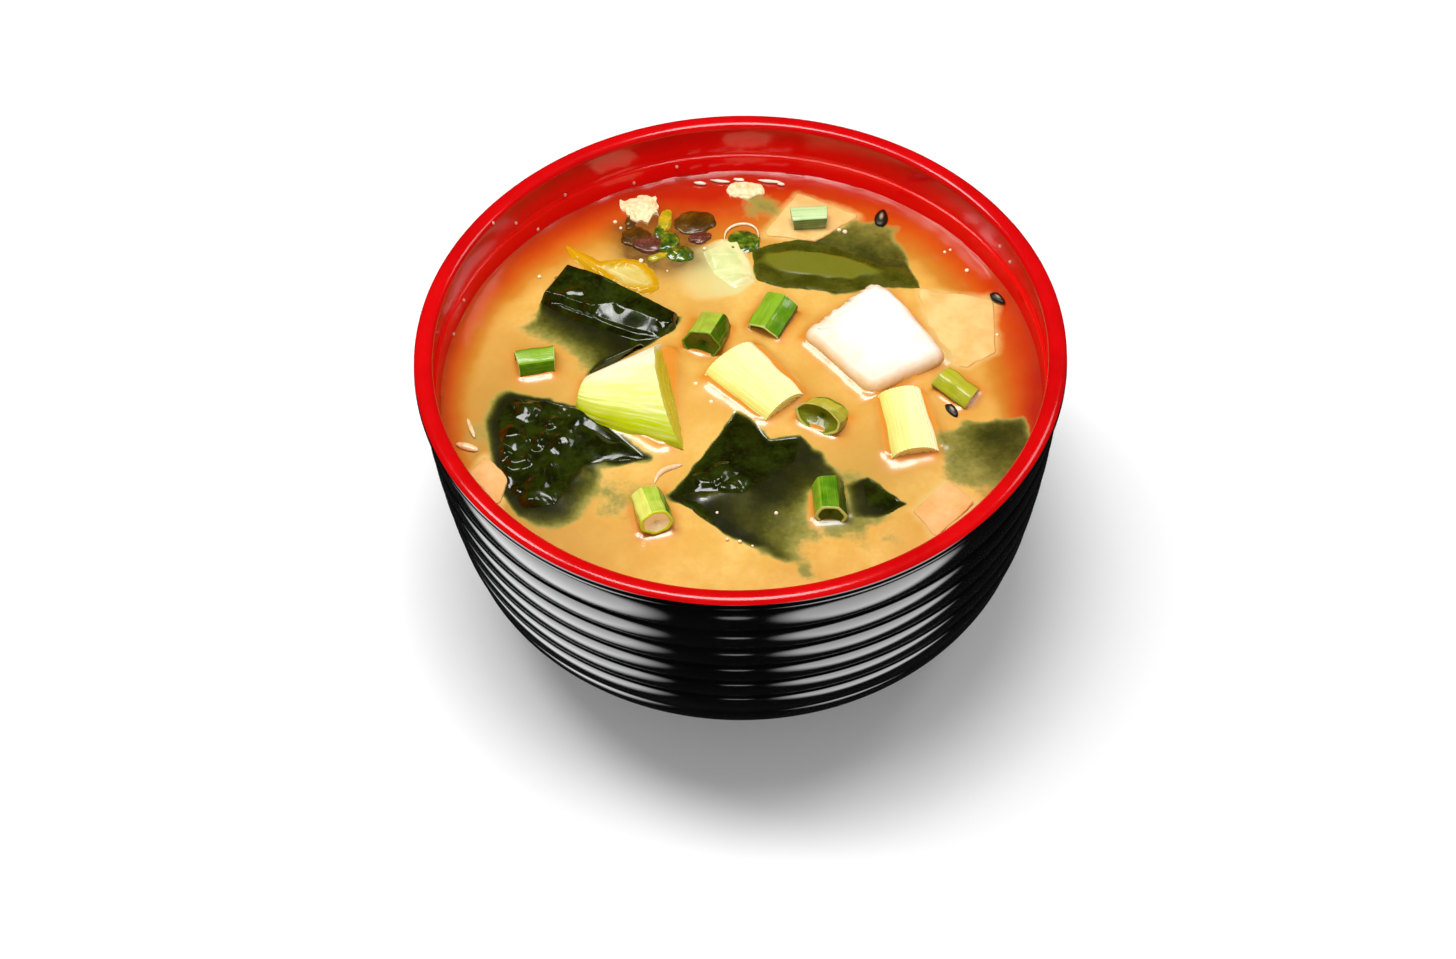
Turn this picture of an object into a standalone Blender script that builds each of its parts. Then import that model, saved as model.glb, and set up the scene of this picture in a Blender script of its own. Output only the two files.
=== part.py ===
"""Miso soup in its ribbed lacquer bowl, as separate solids: the bowl, the broth and every floating piece.

Metres, +Z up. The origin is on the table under the middle of the bowl, and -Y is the side nearest the eater.
"""

import math

import bmesh
import bpy
from mathutils import Matrix, Vector

MM = 0.001

# Bowl
RIM_RADIUS = 62.5 * MM
BOWL_HEIGHT = 64.0 * MM
TURN_STEPS = 48
LIP_WIDTH = 2.9 * MM
LIP_DROP = 2.6 * MM
LIP_OVERHANG = 1.0 * MM
RIB_COUNT = 6
FIRST_RIB_DROP = 3.4 * MM
FIRST_RIB_HEIGHT = 7.2 * MM
RIB_HEIGHT = 6.06 * MM
RIB_DEPTH = 0.5 * MM
FOOT_RADIUS = 30.5 * MM
FOOT_HEIGHT = 7.0 * MM
FOOT_RING_WIDTH = 2.8 * MM
FOOT_FLARE = 1.0 * MM
SHOULDER_RADIUS = 33.5 * MM
FLOOR_THICKNESS = 4.0 * MM

# Inside of the bowl, as depth under the rim and radius
FACET_DROP, FACET_RADIUS = 8.9 * MM, 58.8 * MM
WALL_FOOT_DROP, WALL_FOOT_RADIUS = 40.0 * MM, 55.0 * MM
FLOOR_RADIUS = 30.0 * MM

# Broth
BROTH_DROP = 12.9 * MM
GAP = 0.3 * MM

LEVEL = BOWL_HEIGHT - BROTH_DROP
POCKET_RISE = 2.0 * MM


def principled(name, colour, roughness):
    """A plain Principled material."""
    made = bpy.data.materials.new(name)
    made.use_nodes = True
    shader = made.node_tree.nodes["Principled BSDF"]
    shader.inputs["Base Color"].default_value = (*colour, 1.0)
    shader.inputs["Roughness"].default_value = roughness
    shader.inputs["Metallic"].default_value = 0.0
    made.diffuse_color = (*colour, 1.0)
    return made


def in_scene(name, mesh, material):
    """An object of this mesh, smooth except at its sharp edges."""
    mesh.materials.append(material)
    mesh.shade_smooth()
    mesh.set_sharp_from_angle(angle=math.radians(40))
    made = bpy.data.objects.new(name, mesh)
    bpy.context.scene.collection.objects.link(made)
    return made


def turned(name, profile, material):
    """A profile of (radius, height) points that starts and ends on the axis, turned round Z by a Screw modifier."""
    mesh = bpy.data.meshes.new(name)
    edges = [(i, i + 1) for i in range(len(profile) - 1)]
    mesh.from_pydata([(radius, 0.0, height) for radius, height in profile], edges, [])
    made = in_scene(name, mesh, material)
    screw = made.modifiers.new("turn", "SCREW")
    screw.steps = TURN_STEPS
    screw.render_steps = TURN_STEPS
    screw.use_merge_vertices = True
    screw.merge_threshold = 0.02 * MM
    screw.use_normal_calculate = False
    return made


def lofted(name, rings, material, looped=False):
    """A closed body through equal rings of points. Its ends are capped, or a looped one's last ring joins its first."""
    shape = bmesh.new()
    corners = [[shape.verts.new(point) for point in ring] for ring in rings]
    following = corners[1:] + (corners[:1] if looped else [])
    for ring, after in zip(corners, following):
        for i in range(len(ring)):
            j = (i + 1) % len(ring)
            shape.faces.new((ring[i], ring[j], after[j], after[i]))
    if not looped:
        shape.faces.new(corners[0])
        shape.faces.new(corners[-1])
    bmesh.ops.recalc_face_normals(shape, faces=shape.faces)
    mesh = bpy.data.meshes.new(name)
    shape.to_mesh(mesh)
    shape.free()
    return in_scene(name, mesh, material)


def outset(outline, distance):
    """A closed plan outline, anticlockwise or not, with each corner moved outwards along both of its sides' normals."""
    middle = sum(outline, Vector((0.0, 0.0))) / len(outline)
    moved = []
    for i, corner in enumerate(outline):
        into = (corner - outline[i - 1]).normalized()
        out = (outline[(i + 1) % len(outline)] - corner).normalized()
        normal = Vector((into.y + out.y, -into.x - out.x)).normalized()
        if normal.dot(corner - middle) < 0.0:
            normal.negate()
        spread = max(0.5, abs(normal.dot(Vector((out.y, -out.x)))))
        moved.append(corner + normal * (distance / spread))
    return moved


def pocket(outline, bottom):
    """A hidden cutter that clears the broth round one floating piece, from under it to above the surface."""
    wide = outset(outline, GAP)
    heights = (bottom - GAP, LEVEL + POCKET_RISE)
    rings = [[(corner.x, corner.y, height) for corner in wide] for height in heights]
    cutter = lofted(f"pocket_{len(pockets.objects)}", rings, cutter_material)
    bpy.context.scene.collection.objects.unlink(cutter)
    pockets.objects.link(cutter)
    cutter.hide_render = True
    cutter.display_type = "WIRE"


def block(name, corners, top, thickness, material, slope=0.0, edge=1.0 * MM):
    """A cut block with four upright sides on the plan corners, in mm. Its top rises by slope towards the first corner."""
    outline = [Vector(corner) * MM for corner in corners]
    middle = sum(outline, Vector((0.0, 0.0))) / len(outline)
    high = (outline[0] - middle).normalized()
    bottom = LEVEL + top - thickness
    lower = [(corner.x, corner.y, bottom) for corner in outline]
    upper = [(corner.x, corner.y, LEVEL + top + slope * high.dot(corner - middle)) for corner in outline]
    made = lofted(name, [lower, upper], material)
    rounding = made.modifiers.new("soft edges", "BEVEL")
    rounding.width = edge
    rounding.segments = 2
    rounding.limit_method = "NONE"
    if bottom < LEVEL:
        pocket(outline, bottom)
    return made


def leek(name, start, end, start_size, end_size, material, skew=0.0):
    """A length of split leek lying round side up. A size is (half width, height above the broth, depth in it), in mm."""
    stations, around = 6, 14
    start, end = Vector(start), Vector(end)
    along = (end - start).normalized()
    across = Vector((-along.y, along.x))
    rings = []
    for i in range(stations):
        share = i / (stations - 1)
        half, rise, sunk = (a + (b - a) * share for a, b in zip(start_size, end_size))
        ring = []
        for k in range(around):
            turn = math.tau * k / around
            side = half * math.cos(turn)
            up = (rise if math.sin(turn) > 0.0 else sunk) * math.sin(turn)
            place = start.lerp(end, share) + across * side + along * skew * side * (2.0 * share - 1.0)
            ring.append((place.x * MM, place.y * MM, LEVEL + up * MM))
        rings.append(ring)
    made = lofted(name, rings, material)
    sides = [rings[0][0], rings[0][around // 2], rings[-1][around // 2], rings[-1][0]]
    pocket([Vector(point[:2]) for point in sides], LEVEL - max(start_size[2], end_size[2]) * MM)
    return made


def scallion(name, centre, heading, material, size=(7.5, 3.2), rise=0.6, tilt=0.0, wall=0.0, flat=1.0):
    """A short cut of scallion lying along its heading in degrees. Its size is (length, radius), rise is its middle over
    the broth and wall is the thickness of a hollow one, in mm."""
    around, lobe = 12, 0.05
    length, radius = size
    turned_to = Matrix.Rotation(math.radians(heading), 3, "Z") @ Matrix.Rotation(math.radians(-tilt), 3, "Y")

    def ring(reach, r):
        points = []
        for k in range(around):
            turn = math.tau * k / around
            bulge = r * (1.0 + lobe * math.cos(3.0 * turn))
            local = Vector((reach, bulge * math.cos(turn), flat * bulge * math.sin(turn)))
            place = turned_to @ local
            x, y = centre[0] + place.x, centre[1] + place.y
            points.append(Vector((x * MM, y * MM, LEVEL + (rise + place.z) * MM)))
        return points

    half = length / 2.0
    rings = [ring(-half, radius), ring(half, radius)]
    if wall:
        rings += [ring(half, radius - wall), ring(-half, radius - wall)]
    made = lofted(name, rings, material, looped=bool(wall))
    bottom = min(point.z for r in rings for point in r)
    if bottom < LEVEL:
        outline = []
        for reach, side in ((-1, -1), (1, -1), (1, 1), (-1, 1)):
            flat_turn = Matrix.Rotation(math.radians(heading), 2)
            grown = Vector((reach * (half + abs(tilt) * radius / 60.0), side * radius * (1.0 + lobe)))
            outline.append((Vector(centre) + flat_turn @ grown) * MM)
        pocket(outline, bottom)
    return made


def sheet(name, corners, material, rise=0.0, bow=0.0, wave=0.4, waves=(2.0, 1.5), thickness=0.9, bulge=0.0):
    """A cut piece of leaf floating flat, in mm: a grid between four plan corners whose sides swell by bulge, bowed up in
    the middle by bow and rippled by wave, with thickness from a Solidify modifier."""
    cells = 9
    a, b, c, d = (Vector(corner) for corner in corners)
    middle = (a + b + c + d) / 4.0
    shape = bmesh.new()
    grid = []
    for i in range(cells):
        u = i / (cells - 1)
        line = []
        for j in range(cells):
            v = j / (cells - 1)
            place = a.lerp(b, u).lerp(d.lerp(c, u), v)
            swell = math.sin(math.pi * u) * abs(2.0 * v - 1.0) + math.sin(math.pi * v) * abs(2.0 * u - 1.0)
            place += (place - middle).normalized() * bulge * swell
            ripple = math.sin(math.tau * waves[0] * u + 1.0) * math.sin(math.tau * waves[1] * v + 0.5)
            dome = math.sin(math.pi * u) * math.sin(math.pi * v)
            up = rise + bow * dome + wave * ripple
            line.append(shape.verts.new((place.x * MM, place.y * MM, LEVEL + up * MM)))
        grid.append(line)
    for i in range(cells - 1):
        for j in range(cells - 1):
            shape.faces.new((grid[i][j], grid[i + 1][j], grid[i + 1][j + 1], grid[i][j + 1]))
    bmesh.ops.recalc_face_normals(shape, faces=shape.faces)
    edge = grid[0] + [line[-1] for line in grid[1:]] + grid[-1][-2::-1] + [line[0] for line in grid[-2:0:-1]]
    outline = [Vector(corner.co[:2]) for corner in edge]
    bottom = min(corner.co.z for line in grid for corner in line) - thickness * MM / 2.0
    mesh = bpy.data.meshes.new(name)
    shape.to_mesh(mesh)
    shape.free()
    made = in_scene(name, mesh, material)
    body = made.modifiers.new("leaf", "SOLIDIFY")
    body.thickness = thickness * MM
    body.offset = 0.0
    body.use_even_offset = True
    if bottom < LEVEL:
        pocket(outline, bottom)
    return made


def wall_radius(drop):
    """The bowl's outside at a depth under its rim: almost upright under the lip, leaning in further down."""
    below = drop / MM - 18.75
    return (60.49 - 0.0931 * below - 0.00232 * below**2) * MM


def arc(middle, reach, first, last, steps):
    """Points on an elliptical arc round (radius, height), from the first to the last angle in degrees."""
    points = []
    for i in range(steps + 1):
        turn = math.radians(first + (last - first) * i / steps)
        points.append((middle[0] + reach[0] * math.cos(turn), middle[1] + reach[1] * math.sin(turn)))
    return points


def rib_profile():
    """The outside from under the lip down to the last rib: each rib swells quickly and falls away to its lower edge."""
    points = []
    top = FIRST_RIB_DROP
    for i in range(RIB_COUNT):
        height = FIRST_RIB_HEIGHT if i == 0 else RIB_HEIGHT
        for share, depth in ((0.04, 1.0), (0.3, 0.25), (0.62, 0.0), (0.93, 0.45)):
            drop = top + share * height
            points.append((wall_radius(drop) + RIB_DEPTH * (0.5 - depth), BOWL_HEIGHT - drop))
        top += height
    return points


def inner_wall():
    """The inside from the middle of the floor up to the facet under the lip."""
    floor = FOOT_HEIGHT + FLOOR_THICKNESS
    corner = BOWL_HEIGHT - WALL_FOOT_DROP
    reach = (WALL_FOOT_RADIUS - FLOOR_RADIUS, corner - floor)
    sweep = arc((FLOOR_RADIUS, corner), reach, -90.0, 0.0, 6)
    return [(0.0, floor)] + sweep + [(FACET_RADIUS, BOWL_HEIGHT - FACET_DROP)]


def bowl_profile():
    """Up the inside, over the round lip, down the ribs, round the shoulder to the foot and into its recess."""
    lip_middle = (RIM_RADIUS - LIP_WIDTH / 2.0, BOWL_HEIGHT - LIP_WIDTH / 2.0)
    lip = arc(lip_middle, (LIP_WIDTH / 2.0, LIP_WIDTH / 2.0), 180.0, 0.0, 6)
    under_lip = [(RIM_RADIUS, BOWL_HEIGHT - LIP_DROP), (RIM_RADIUS - LIP_OVERHANG, BOWL_HEIGHT - LIP_DROP)]
    ribs_end = FIRST_RIB_DROP + FIRST_RIB_HEIGHT + (RIB_COUNT - 1) * RIB_HEIGHT
    wide, high = wall_radius(ribs_end), BOWL_HEIGHT - ribs_end
    shoulder = arc((SHOULDER_RADIUS, high), (wide - SHOULDER_RADIUS, high - FOOT_HEIGHT), 0.0, -90.0, 6)
    foot = [
        (FOOT_RADIUS - FOOT_FLARE, FOOT_HEIGHT - FOOT_FLARE),
        (FOOT_RADIUS, 0.0),
        (FOOT_RADIUS - FOOT_RING_WIDTH, 0.0),
        (FOOT_RADIUS - FOOT_RING_WIDTH - FOOT_FLARE, FOOT_HEIGHT),
        (0.0, FOOT_HEIGHT),
    ]
    return inner_wall() + lip + under_lip + rib_profile() + shoulder + foot


def broth_profile():
    """The broth's level, its side a gap inside the wall and its underside a gap over the floor, top to bottom."""
    wall = [(max(0.0, radius - GAP), height + GAP) for radius, height in inner_wall()]
    under_level = [point for point in wall[:-1] if point[1] < LEVEL]
    (low_radius, low), (high_radius, high) = under_level[-1], wall[-1]
    edge = low_radius + (high_radius - low_radius) * (LEVEL - low) / (high - low)
    return [(0.0, LEVEL), (edge, LEVEL)] + under_level[::-1]


for old in list(bpy.data.objects):
    bpy.data.objects.remove(old, do_unlink=True)
pockets = bpy.data.collections.new("pockets")
bpy.context.scene.collection.children.link(pockets)

lacquer = principled("black_lacquer", (0.01, 0.01, 0.012), 0.12)
broth_tan = principled("miso_broth", (0.80, 0.45, 0.14), 0.2)
tofu_white = principled("silken_tofu", (0.92, 0.86, 0.70), 0.4)
leek_yellow = principled("simmered_leek", (0.80, 0.76, 0.22), 0.35)
scallion_green = principled("fresh_scallion", (0.12, 0.36, 0.02), 0.35)
wakame_dark = principled("wakame", (0.02, 0.04, 0.01), 0.2)
onion_pale = principled("simmered_onion", (0.75, 0.66, 0.30), 0.3)
cutter_material = principled("cutter", (0.5, 0.5, 0.5), 0.5)

turned("bowl", bowl_profile(), lacquer)
broth = turned("broth", broth_profile(), broth_tan)

# Tofu: one block stands out of the broth, and four lie with their tops at its surface.
block("tofu_large", [(27.7, 23.8), (12.2, 12.4), (25.5, -3.7), (40.5, 5.0)], 3.0 * MM, 12.0 * MM, tofu_white)
block("tofu_right", [(50.4, 20.6), (35.9, 24.2), (43.0, 3.2), (49.6, 5.4)], 0.1 * MM, 10.0 * MM, tofu_white)
block("tofu_back", [(12.9, 51.6), (5.6, 40.2), (16.0, 37.6), (25.5, 44.6)], 0.1 * MM, 9.0 * MM, tofu_white)
block("tofu_front", [(43.4, -30.6), (38.4, -25.4), (31.4, -32.4), (35.4, -39.0)], 0.1 * MM, 8.0 * MM, tofu_white)
block("tofu_left", [(-49.5, -15.8), (-52.0, -20.4), (-46.4, -29.2), (-44.6, -21.6)], 0.1 * MM, 8.0 * MM, tofu_white)

# Leek: three split lengths, round side up.
leek("leek_left", (-31.0, -1.9), (-13.2, -2.8), (3.2, 3.0, 2.5), (12.4, 6.0, 3.0), leek_yellow, skew=0.1)
leek("leek_middle", (-2.3, 6.2), (8.4, -6.6), (6.6, 3.4, 2.5), (5.2, 3.2, 2.5), leek_yellow)
leek("leek_right", (30.7, -3.9), (32.8, -19.6), (4.4, 2.8, 2.5), (5.0, 3.2, 2.5), leek_yellow)

# Scallion: eight short cuts, one of them on the tofu at the back.
scallion("scallion_back_left", (-6.1, 12.2), 65.0, scallion_green, (8.0, 4.0), wall=0.9, flat=0.85)
scallion("scallion_back_right", (6.6, 16.4), -32.0, scallion_green, (7.6, 3.9), flat=0.8)
scallion("scallion_left", (-39.9, 6.6), 8.0, scallion_green, (7.0, 3.0), flat=0.8)
scallion("scallion_ring", (15.4, -9.2), -68.0, scallion_green, (6.0, 4.4), 0.4, 12.0, 0.7, 0.6)
scallion("scallion_right", (41.6, -3.4), -36.0, scallion_green, (7.6, 2.9), flat=0.8)
scallion("scallion_front_left", (-17.6, -31.6), -84.0, scallion_green, (9.5, 3.1), flat=0.9)
scallion("scallion_front_right", (15.7, -30.4), -86.0, scallion_green, (8.0, 3.0), wall=0.9, flat=0.9)
scallion("scallion_on_tofu", (15.0, 42.6), 3.0, scallion_green, (6.6, 2.0), 1.9, flat=0.7)

# Wakame and soft leaves, floating flat at the surface.
sheet(
    "wakame_left",
    [(-48.2, -1.6), (-32.6, -4.0), (-21.2, -18.6), (-37.6, -31.0)],
    wakame_dark, rise=0.9, bow=1.2, wave=0.6, waves=(2.5, 2.0), thickness=1.4, bulge=0.8,
)
sheet(
    "wakame_back",
    [(-39.2, 23.4), (-33.8, 31.4), (-12.6, 17.6), (-16.6, 13.4)],
    wakame_dark, rise=0.7, bow=1.4, wave=0.5, waves=(1.0, 2.5), thickness=1.4, bulge=0.5,
)
sheet(
    "wakame_middle",
    [(-12.6, -27.4), (-1.2, -7.6), (14.0, -17.8), (7.6, -44.0)],
    wakame_dark, rise=0.2, bow=0.3, wave=0.4, waves=(1.5, 1.5), thickness=0.9,
)
sheet("wakame_tip", [(20.2, -27.2), (23.6, -24.6), (29.8, -30.9), (26.8, -32.9)], wakame_dark, wave=0.2)
sheet(
    "wakame_far",
    [(6.6, 25.6), (4.9, 35.4), (30.6, 39.4), (35.2, 25.4)],
    wakame_dark, rise=-0.1, wave=0.3, waves=(1.0, 1.5),
)
sheet("cabbage_leaf", [(-8.6, 26.0), (-9.0, 34.0), (-1.0, 39.8), (3.4, 26.2)], onion_pale, wave=0.4, bow=0.4)
sheet("onion_slice", [(-34.4, 38.2), (-24.0, 35.6), (-16.6, 27.6), (-28.6, 31.2)], onion_pale, wave=0.3, bow=0.4)

cut = broth.modifiers.new("cut round the pieces", "BOOLEAN")
cut.operation = "DIFFERENCE"
cut.operand_type = "COLLECTION"
cut.collection = pockets
cut.solver = "EXACT"
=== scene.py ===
# %% [markdown]
# # A bowl of miso soup
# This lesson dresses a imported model: a ribbed black bowl with a red inside, cloudy broth up to a little
# under the rim, and tofu, wakame, leek and scallion floating in it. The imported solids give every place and
# size. Each finished piece below is a surface worked out with numpy, put where its solid is, and shown
# instead of it.

import math
from functools import partial

import bpy
import numpy as np
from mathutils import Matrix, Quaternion, Vector


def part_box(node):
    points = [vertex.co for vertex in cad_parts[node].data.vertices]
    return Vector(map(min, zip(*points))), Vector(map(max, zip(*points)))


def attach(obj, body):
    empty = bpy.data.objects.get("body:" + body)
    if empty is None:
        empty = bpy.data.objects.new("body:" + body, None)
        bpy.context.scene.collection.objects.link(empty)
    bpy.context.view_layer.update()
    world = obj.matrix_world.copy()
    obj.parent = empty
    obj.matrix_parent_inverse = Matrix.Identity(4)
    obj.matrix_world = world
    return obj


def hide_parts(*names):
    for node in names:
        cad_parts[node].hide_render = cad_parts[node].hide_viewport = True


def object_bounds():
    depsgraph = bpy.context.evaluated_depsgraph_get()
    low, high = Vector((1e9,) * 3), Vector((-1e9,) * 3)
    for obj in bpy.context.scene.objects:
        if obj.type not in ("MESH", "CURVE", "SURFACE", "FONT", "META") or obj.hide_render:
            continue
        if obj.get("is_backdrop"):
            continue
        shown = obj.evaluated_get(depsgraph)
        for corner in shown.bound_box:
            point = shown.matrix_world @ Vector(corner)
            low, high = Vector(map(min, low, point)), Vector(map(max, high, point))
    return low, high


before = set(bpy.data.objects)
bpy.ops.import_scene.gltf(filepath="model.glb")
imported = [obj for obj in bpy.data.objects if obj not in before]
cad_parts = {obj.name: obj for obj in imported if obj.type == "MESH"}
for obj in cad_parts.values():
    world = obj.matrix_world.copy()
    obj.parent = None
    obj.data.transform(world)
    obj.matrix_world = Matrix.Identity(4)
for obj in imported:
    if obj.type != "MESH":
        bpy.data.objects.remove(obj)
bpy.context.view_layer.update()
scene = bpy.context.scene

MM = 0.001
TAU = math.tau
low, high = (np.array(corner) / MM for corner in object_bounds())
RIM_RADIUS = (high[0] - low[0]) / 2.0
BOWL_HEIGHT = high[2]
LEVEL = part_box("broth")[1].z / MM
print(f"rim radius {RIM_RADIUS:.2f} mm, height {BOWL_HEIGHT:.2f} mm, broth level {LEVEL:.2f} mm")

# %% [markdown]
# ## Putting numbers into a mesh
# Every surface here is a whole array of points. One helper takes the points and the faces, also as arrays,
# and fills a mesh with foreach_set, which is far quicker than adding vertices one by one. It measures the
# volume inside: where that is below zero the faces look inwards, so it turns them all round.


# %% From arrays to an object
def volume_inside(points, faces):
    """The signed volume within the faces: each is fanned into triangles, a x b . c / 6 summed over them."""
    total = 0.0
    for kind in faces:
        a = points[kind[:, 0]]
        for k in range(1, kind.shape[1] - 1):
            b, c = points[kind[:, k]], points[kind[:, k + 1]]
            total += np.einsum("ij,ij->", np.cross(a, b), c) / 6.0
    return total


def put_in_scene(name, points, faces, material, smooth_below=60.0):
    """A smooth object from (n, 3) points in mm and a list of face arrays, its faces turned outwards."""
    faces = [kind for kind in faces if len(kind)]
    middle = points.mean(axis=0)
    if volume_inside(points - middle, faces) < 0.0:
        faces = [kind[:, ::-1] for kind in faces]
    mesh = bpy.data.meshes.new(name)
    sizes = np.concatenate([np.full(len(kind), kind.shape[1]) for kind in faces])
    corners = np.concatenate([kind.ravel() for kind in faces])
    mesh.vertices.add(len(points))
    mesh.vertices.foreach_set("co", (points * MM).astype(np.float32).ravel())
    mesh.loops.add(len(corners))
    mesh.loops.foreach_set("vertex_index", corners.astype(np.int32))
    mesh.polygons.add(len(sizes))
    mesh.polygons.foreach_set("loop_start", (np.cumsum(sizes) - sizes).astype(np.int32))
    mesh.update(calc_edges=True)
    mesh.validate()
    mesh.shade_smooth()
    mesh.set_sharp_from_angle(angle=math.radians(smooth_below))
    mesh.materials.append(material)
    made = bpy.data.objects.new(name, mesh)
    scene.collection.objects.link(made)
    return made


print("mesh filler ready")


# %% Marks and faces
def mark(made, name, values):
    """Keeps one number for each vertex under this name, for a material's Attribute node to read."""
    layer = made.data.attributes.new(name, "FLOAT", "POINT")
    layer.data.foreach_set("value", np.asarray(values, np.float32).ravel())


def strip(first, second):
    """Quads between two equal closed rows of vertex numbers."""
    return np.stack([first, np.roll(first, -1), np.roll(second, -1), second], axis=1)


def band_faces(rings, around, start=0):
    """Quads that join each ring of vertices to the next one, for rings numbered one after another."""
    numbers = start + np.arange(rings * around).reshape(rings, around)
    after = np.roll(numbers, -1, axis=1)
    quads = np.stack([numbers[:-1], after[:-1], after[1:], numbers[1:]], axis=-1)
    return quads.reshape(-1, 4)


def fan(ring, tip):
    """Triangles from a closed ring of vertex numbers to one tip."""
    return np.stack([ring, np.roll(ring, -1), np.full(len(ring), tip)], axis=1)


def ringed(name, rings, material, smooth_below=60.0):
    """A closed body through (rings, around, 3) points, its two ends fanned to the end rings' middles."""
    count, around = rings.shape[:2]
    tips = np.stack([rings[0].mean(axis=0), rings[-1].mean(axis=0)])
    points = np.concatenate([rings.reshape(-1, 3), tips])
    last = (count - 1) * around + np.arange(around)
    ends = np.concatenate([fan(np.arange(around)[::-1], count * around), fan(last, count * around + 1)])
    return put_in_scene(name, points, [band_faces(count, around), ends], material, smooth_below)


print("mesh helpers ready")

# %% [markdown]
# ## Relief and outlines
# Nothing in the bowl is quite smooth or straight, so four small functions of the plan are used all over:
# a random relief made of waves, a smooth step, a bell, and the distance to an outline's edge. They take
# whole arrays, so a height is worked out for every point of a grid at once.


# %% Relief, steps and distances
FAR_AWAY, NEXT_TO_NOTHING = 1e9, 1e-9


def swell(x, y, length, seed, waves=14):
    """Soft relief, mostly between -1 and 1: a sum of plane waves of about this length, each its own way."""
    rng = np.random.default_rng(seed)
    turns, phases = rng.uniform(0.0, TAU, (2, waves))
    lengths = length * rng.uniform(0.7, 1.4, waves)
    total = np.zeros(np.broadcast(x, y).shape)
    for turn, phase, each in zip(turns, phases, lengths):
        total += np.sin(TAU * (x * math.cos(turn) + y * math.sin(turn)) / each + phase)
    return total / math.sqrt(waves)


def eased(value, low_end, high_end):
    """0 below the low end, 1 above the high end and a smooth S between them."""
    share = np.clip((value - low_end) / (high_end - low_end), 0.0, 1.0)
    return share * share * (3.0 - 2.0 * share)


def bell(distance, width, power=2.0):
    """1 at no distance, falling off as e to the minus power of distance over width."""
    return np.exp(-((distance / width) ** power))


def inside(x, y, outline):
    """Signed distance to a closed outline, in mm: above zero inside it. The nearest point of each side is
    found in turn, and the sides that a ray to the right crosses are counted for the sign."""
    corners = np.array(outline, float)
    nearest = np.full(x.shape, FAR_AWAY)
    crossings = np.zeros(x.shape, int)
    for (ax, ay), (bx, by) in zip(corners, np.roll(corners, -1, axis=0)):
        ex, ey = bx - ax, by - ay
        share = np.clip(((x - ax) * ex + (y - ay) * ey) / (ex * ex + ey * ey), 0.0, 1.0)
        nearest = np.minimum(nearest, np.hypot(x - ax - share * ex, y - ay - share * ey))
        spans = (ay > y) != (by > y)
        crossings += spans & (x < ax + (y - ay) * ex / (ey or NEXT_TO_NOTHING))
    return np.where(crossings % 2 == 1, nearest, -nearest)


print("relief helpers ready")

# %% [markdown]
# ## Materials from one small function
# A material is a Principled shader with a few nodes before it. One function adds any node with its settings
# and its links, so a finish reads as a short recipe. Colours are written as sRGB hex and turned to linear
# once.


# %% Nodes and colours
def linear(hex_colour):
    """An sRGB hex colour as linear red, green, blue and alpha."""
    parts = np.array([int(hex_colour[i : i + 2], 16) for i in (1, 3, 5)]) / 255.0
    return (*np.where(parts <= 0.04045, parts / 12.92, ((parts + 0.055) / 1.055) ** 2.4).tolist(), 1.0)


def node(tree, kind, settings=None, **links):
    """Adds a node and gives its properties and sockets their values by name. In a link's name _ stands for
    a space, and _0 for the first socket."""
    made = tree.nodes.new(kind)
    for name, value in {**(settings or {}), **links}.items():
        if isinstance(value, bpy.types.NodeSocket):
            socket = made.inputs[int(name[1:])] if name[0] == "_" else made.inputs[name.replace("_", " ")]
            tree.links.new(value, socket)
        elif isinstance(name, int) or name in made.inputs:
            made.inputs[name].default_value = value
        else:
            setattr(made, name, value)
    return made


def ramp(tree, factor, stops):
    """A colour ramp through (place, sRGB hex) stops."""
    made = node(tree, "ShaderNodeValToRGB", Fac=factor)
    elements = made.color_ramp.elements
    while len(elements) < len(stops):
        elements.new(0.5)
    for element, (place, colour) in zip(elements, stops):
        element.position = place
        element.color = linear(colour)
    return made.outputs["Color"]


def plug(tree, socket, value):
    """Links another socket into this one, or sets it to a hex colour or a number."""
    if isinstance(value, bpy.types.NodeSocket):
        tree.links.new(value, socket)
    else:
        socket.default_value = linear(value) if isinstance(value, str) else value


def attribute(tree, name):
    """The number that mark kept for each vertex."""
    return node(tree, "ShaderNodeAttribute", {"attribute_name": name}).outputs["Fac"]


def spots(tree, size, detail=2.0, rough=0.5, stretch=(1.0, 1.0, 1.0)):
    """Noise on Object coordinates: spots about this many mm wide, drawn out along the axes by the stretch."""
    place = node(tree, "ShaderNodeTexCoord").outputs["Object"]
    drawn_out = node(tree, "ShaderNodeMapping", {"vector_type": "TEXTURE", "Scale": stretch}, Vector=place)
    grain = {"Scale": 1.0 / (size * MM), "Detail": detail, "Roughness": rough}
    return node(tree, "ShaderNodeTexNoise", grain, Vector=drawn_out.outputs["Vector"]).outputs["Fac"]


print("node and colour helpers ready")

# %% Mixes and ranges
MIX_FACTOR, MIX_FIRST_COLOUR, MIX_SECOND_COLOUR = 0, 6, 7
MIXED_COLOUR = 2


def mixed(tree, factor, first, second):
    """Two colours, each a hex colour or a socket, mixed by a factor, which is a number or a socket."""
    made = node(tree, "ShaderNodeMix", {"data_type": "RGBA"})
    plug(tree, made.inputs[MIX_FACTOR], factor)
    plug(tree, made.inputs[MIX_FIRST_COLOUR], first)
    plug(tree, made.inputs[MIX_SECOND_COLOUR], second)
    return made.outputs[MIXED_COLOUR]


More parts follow.
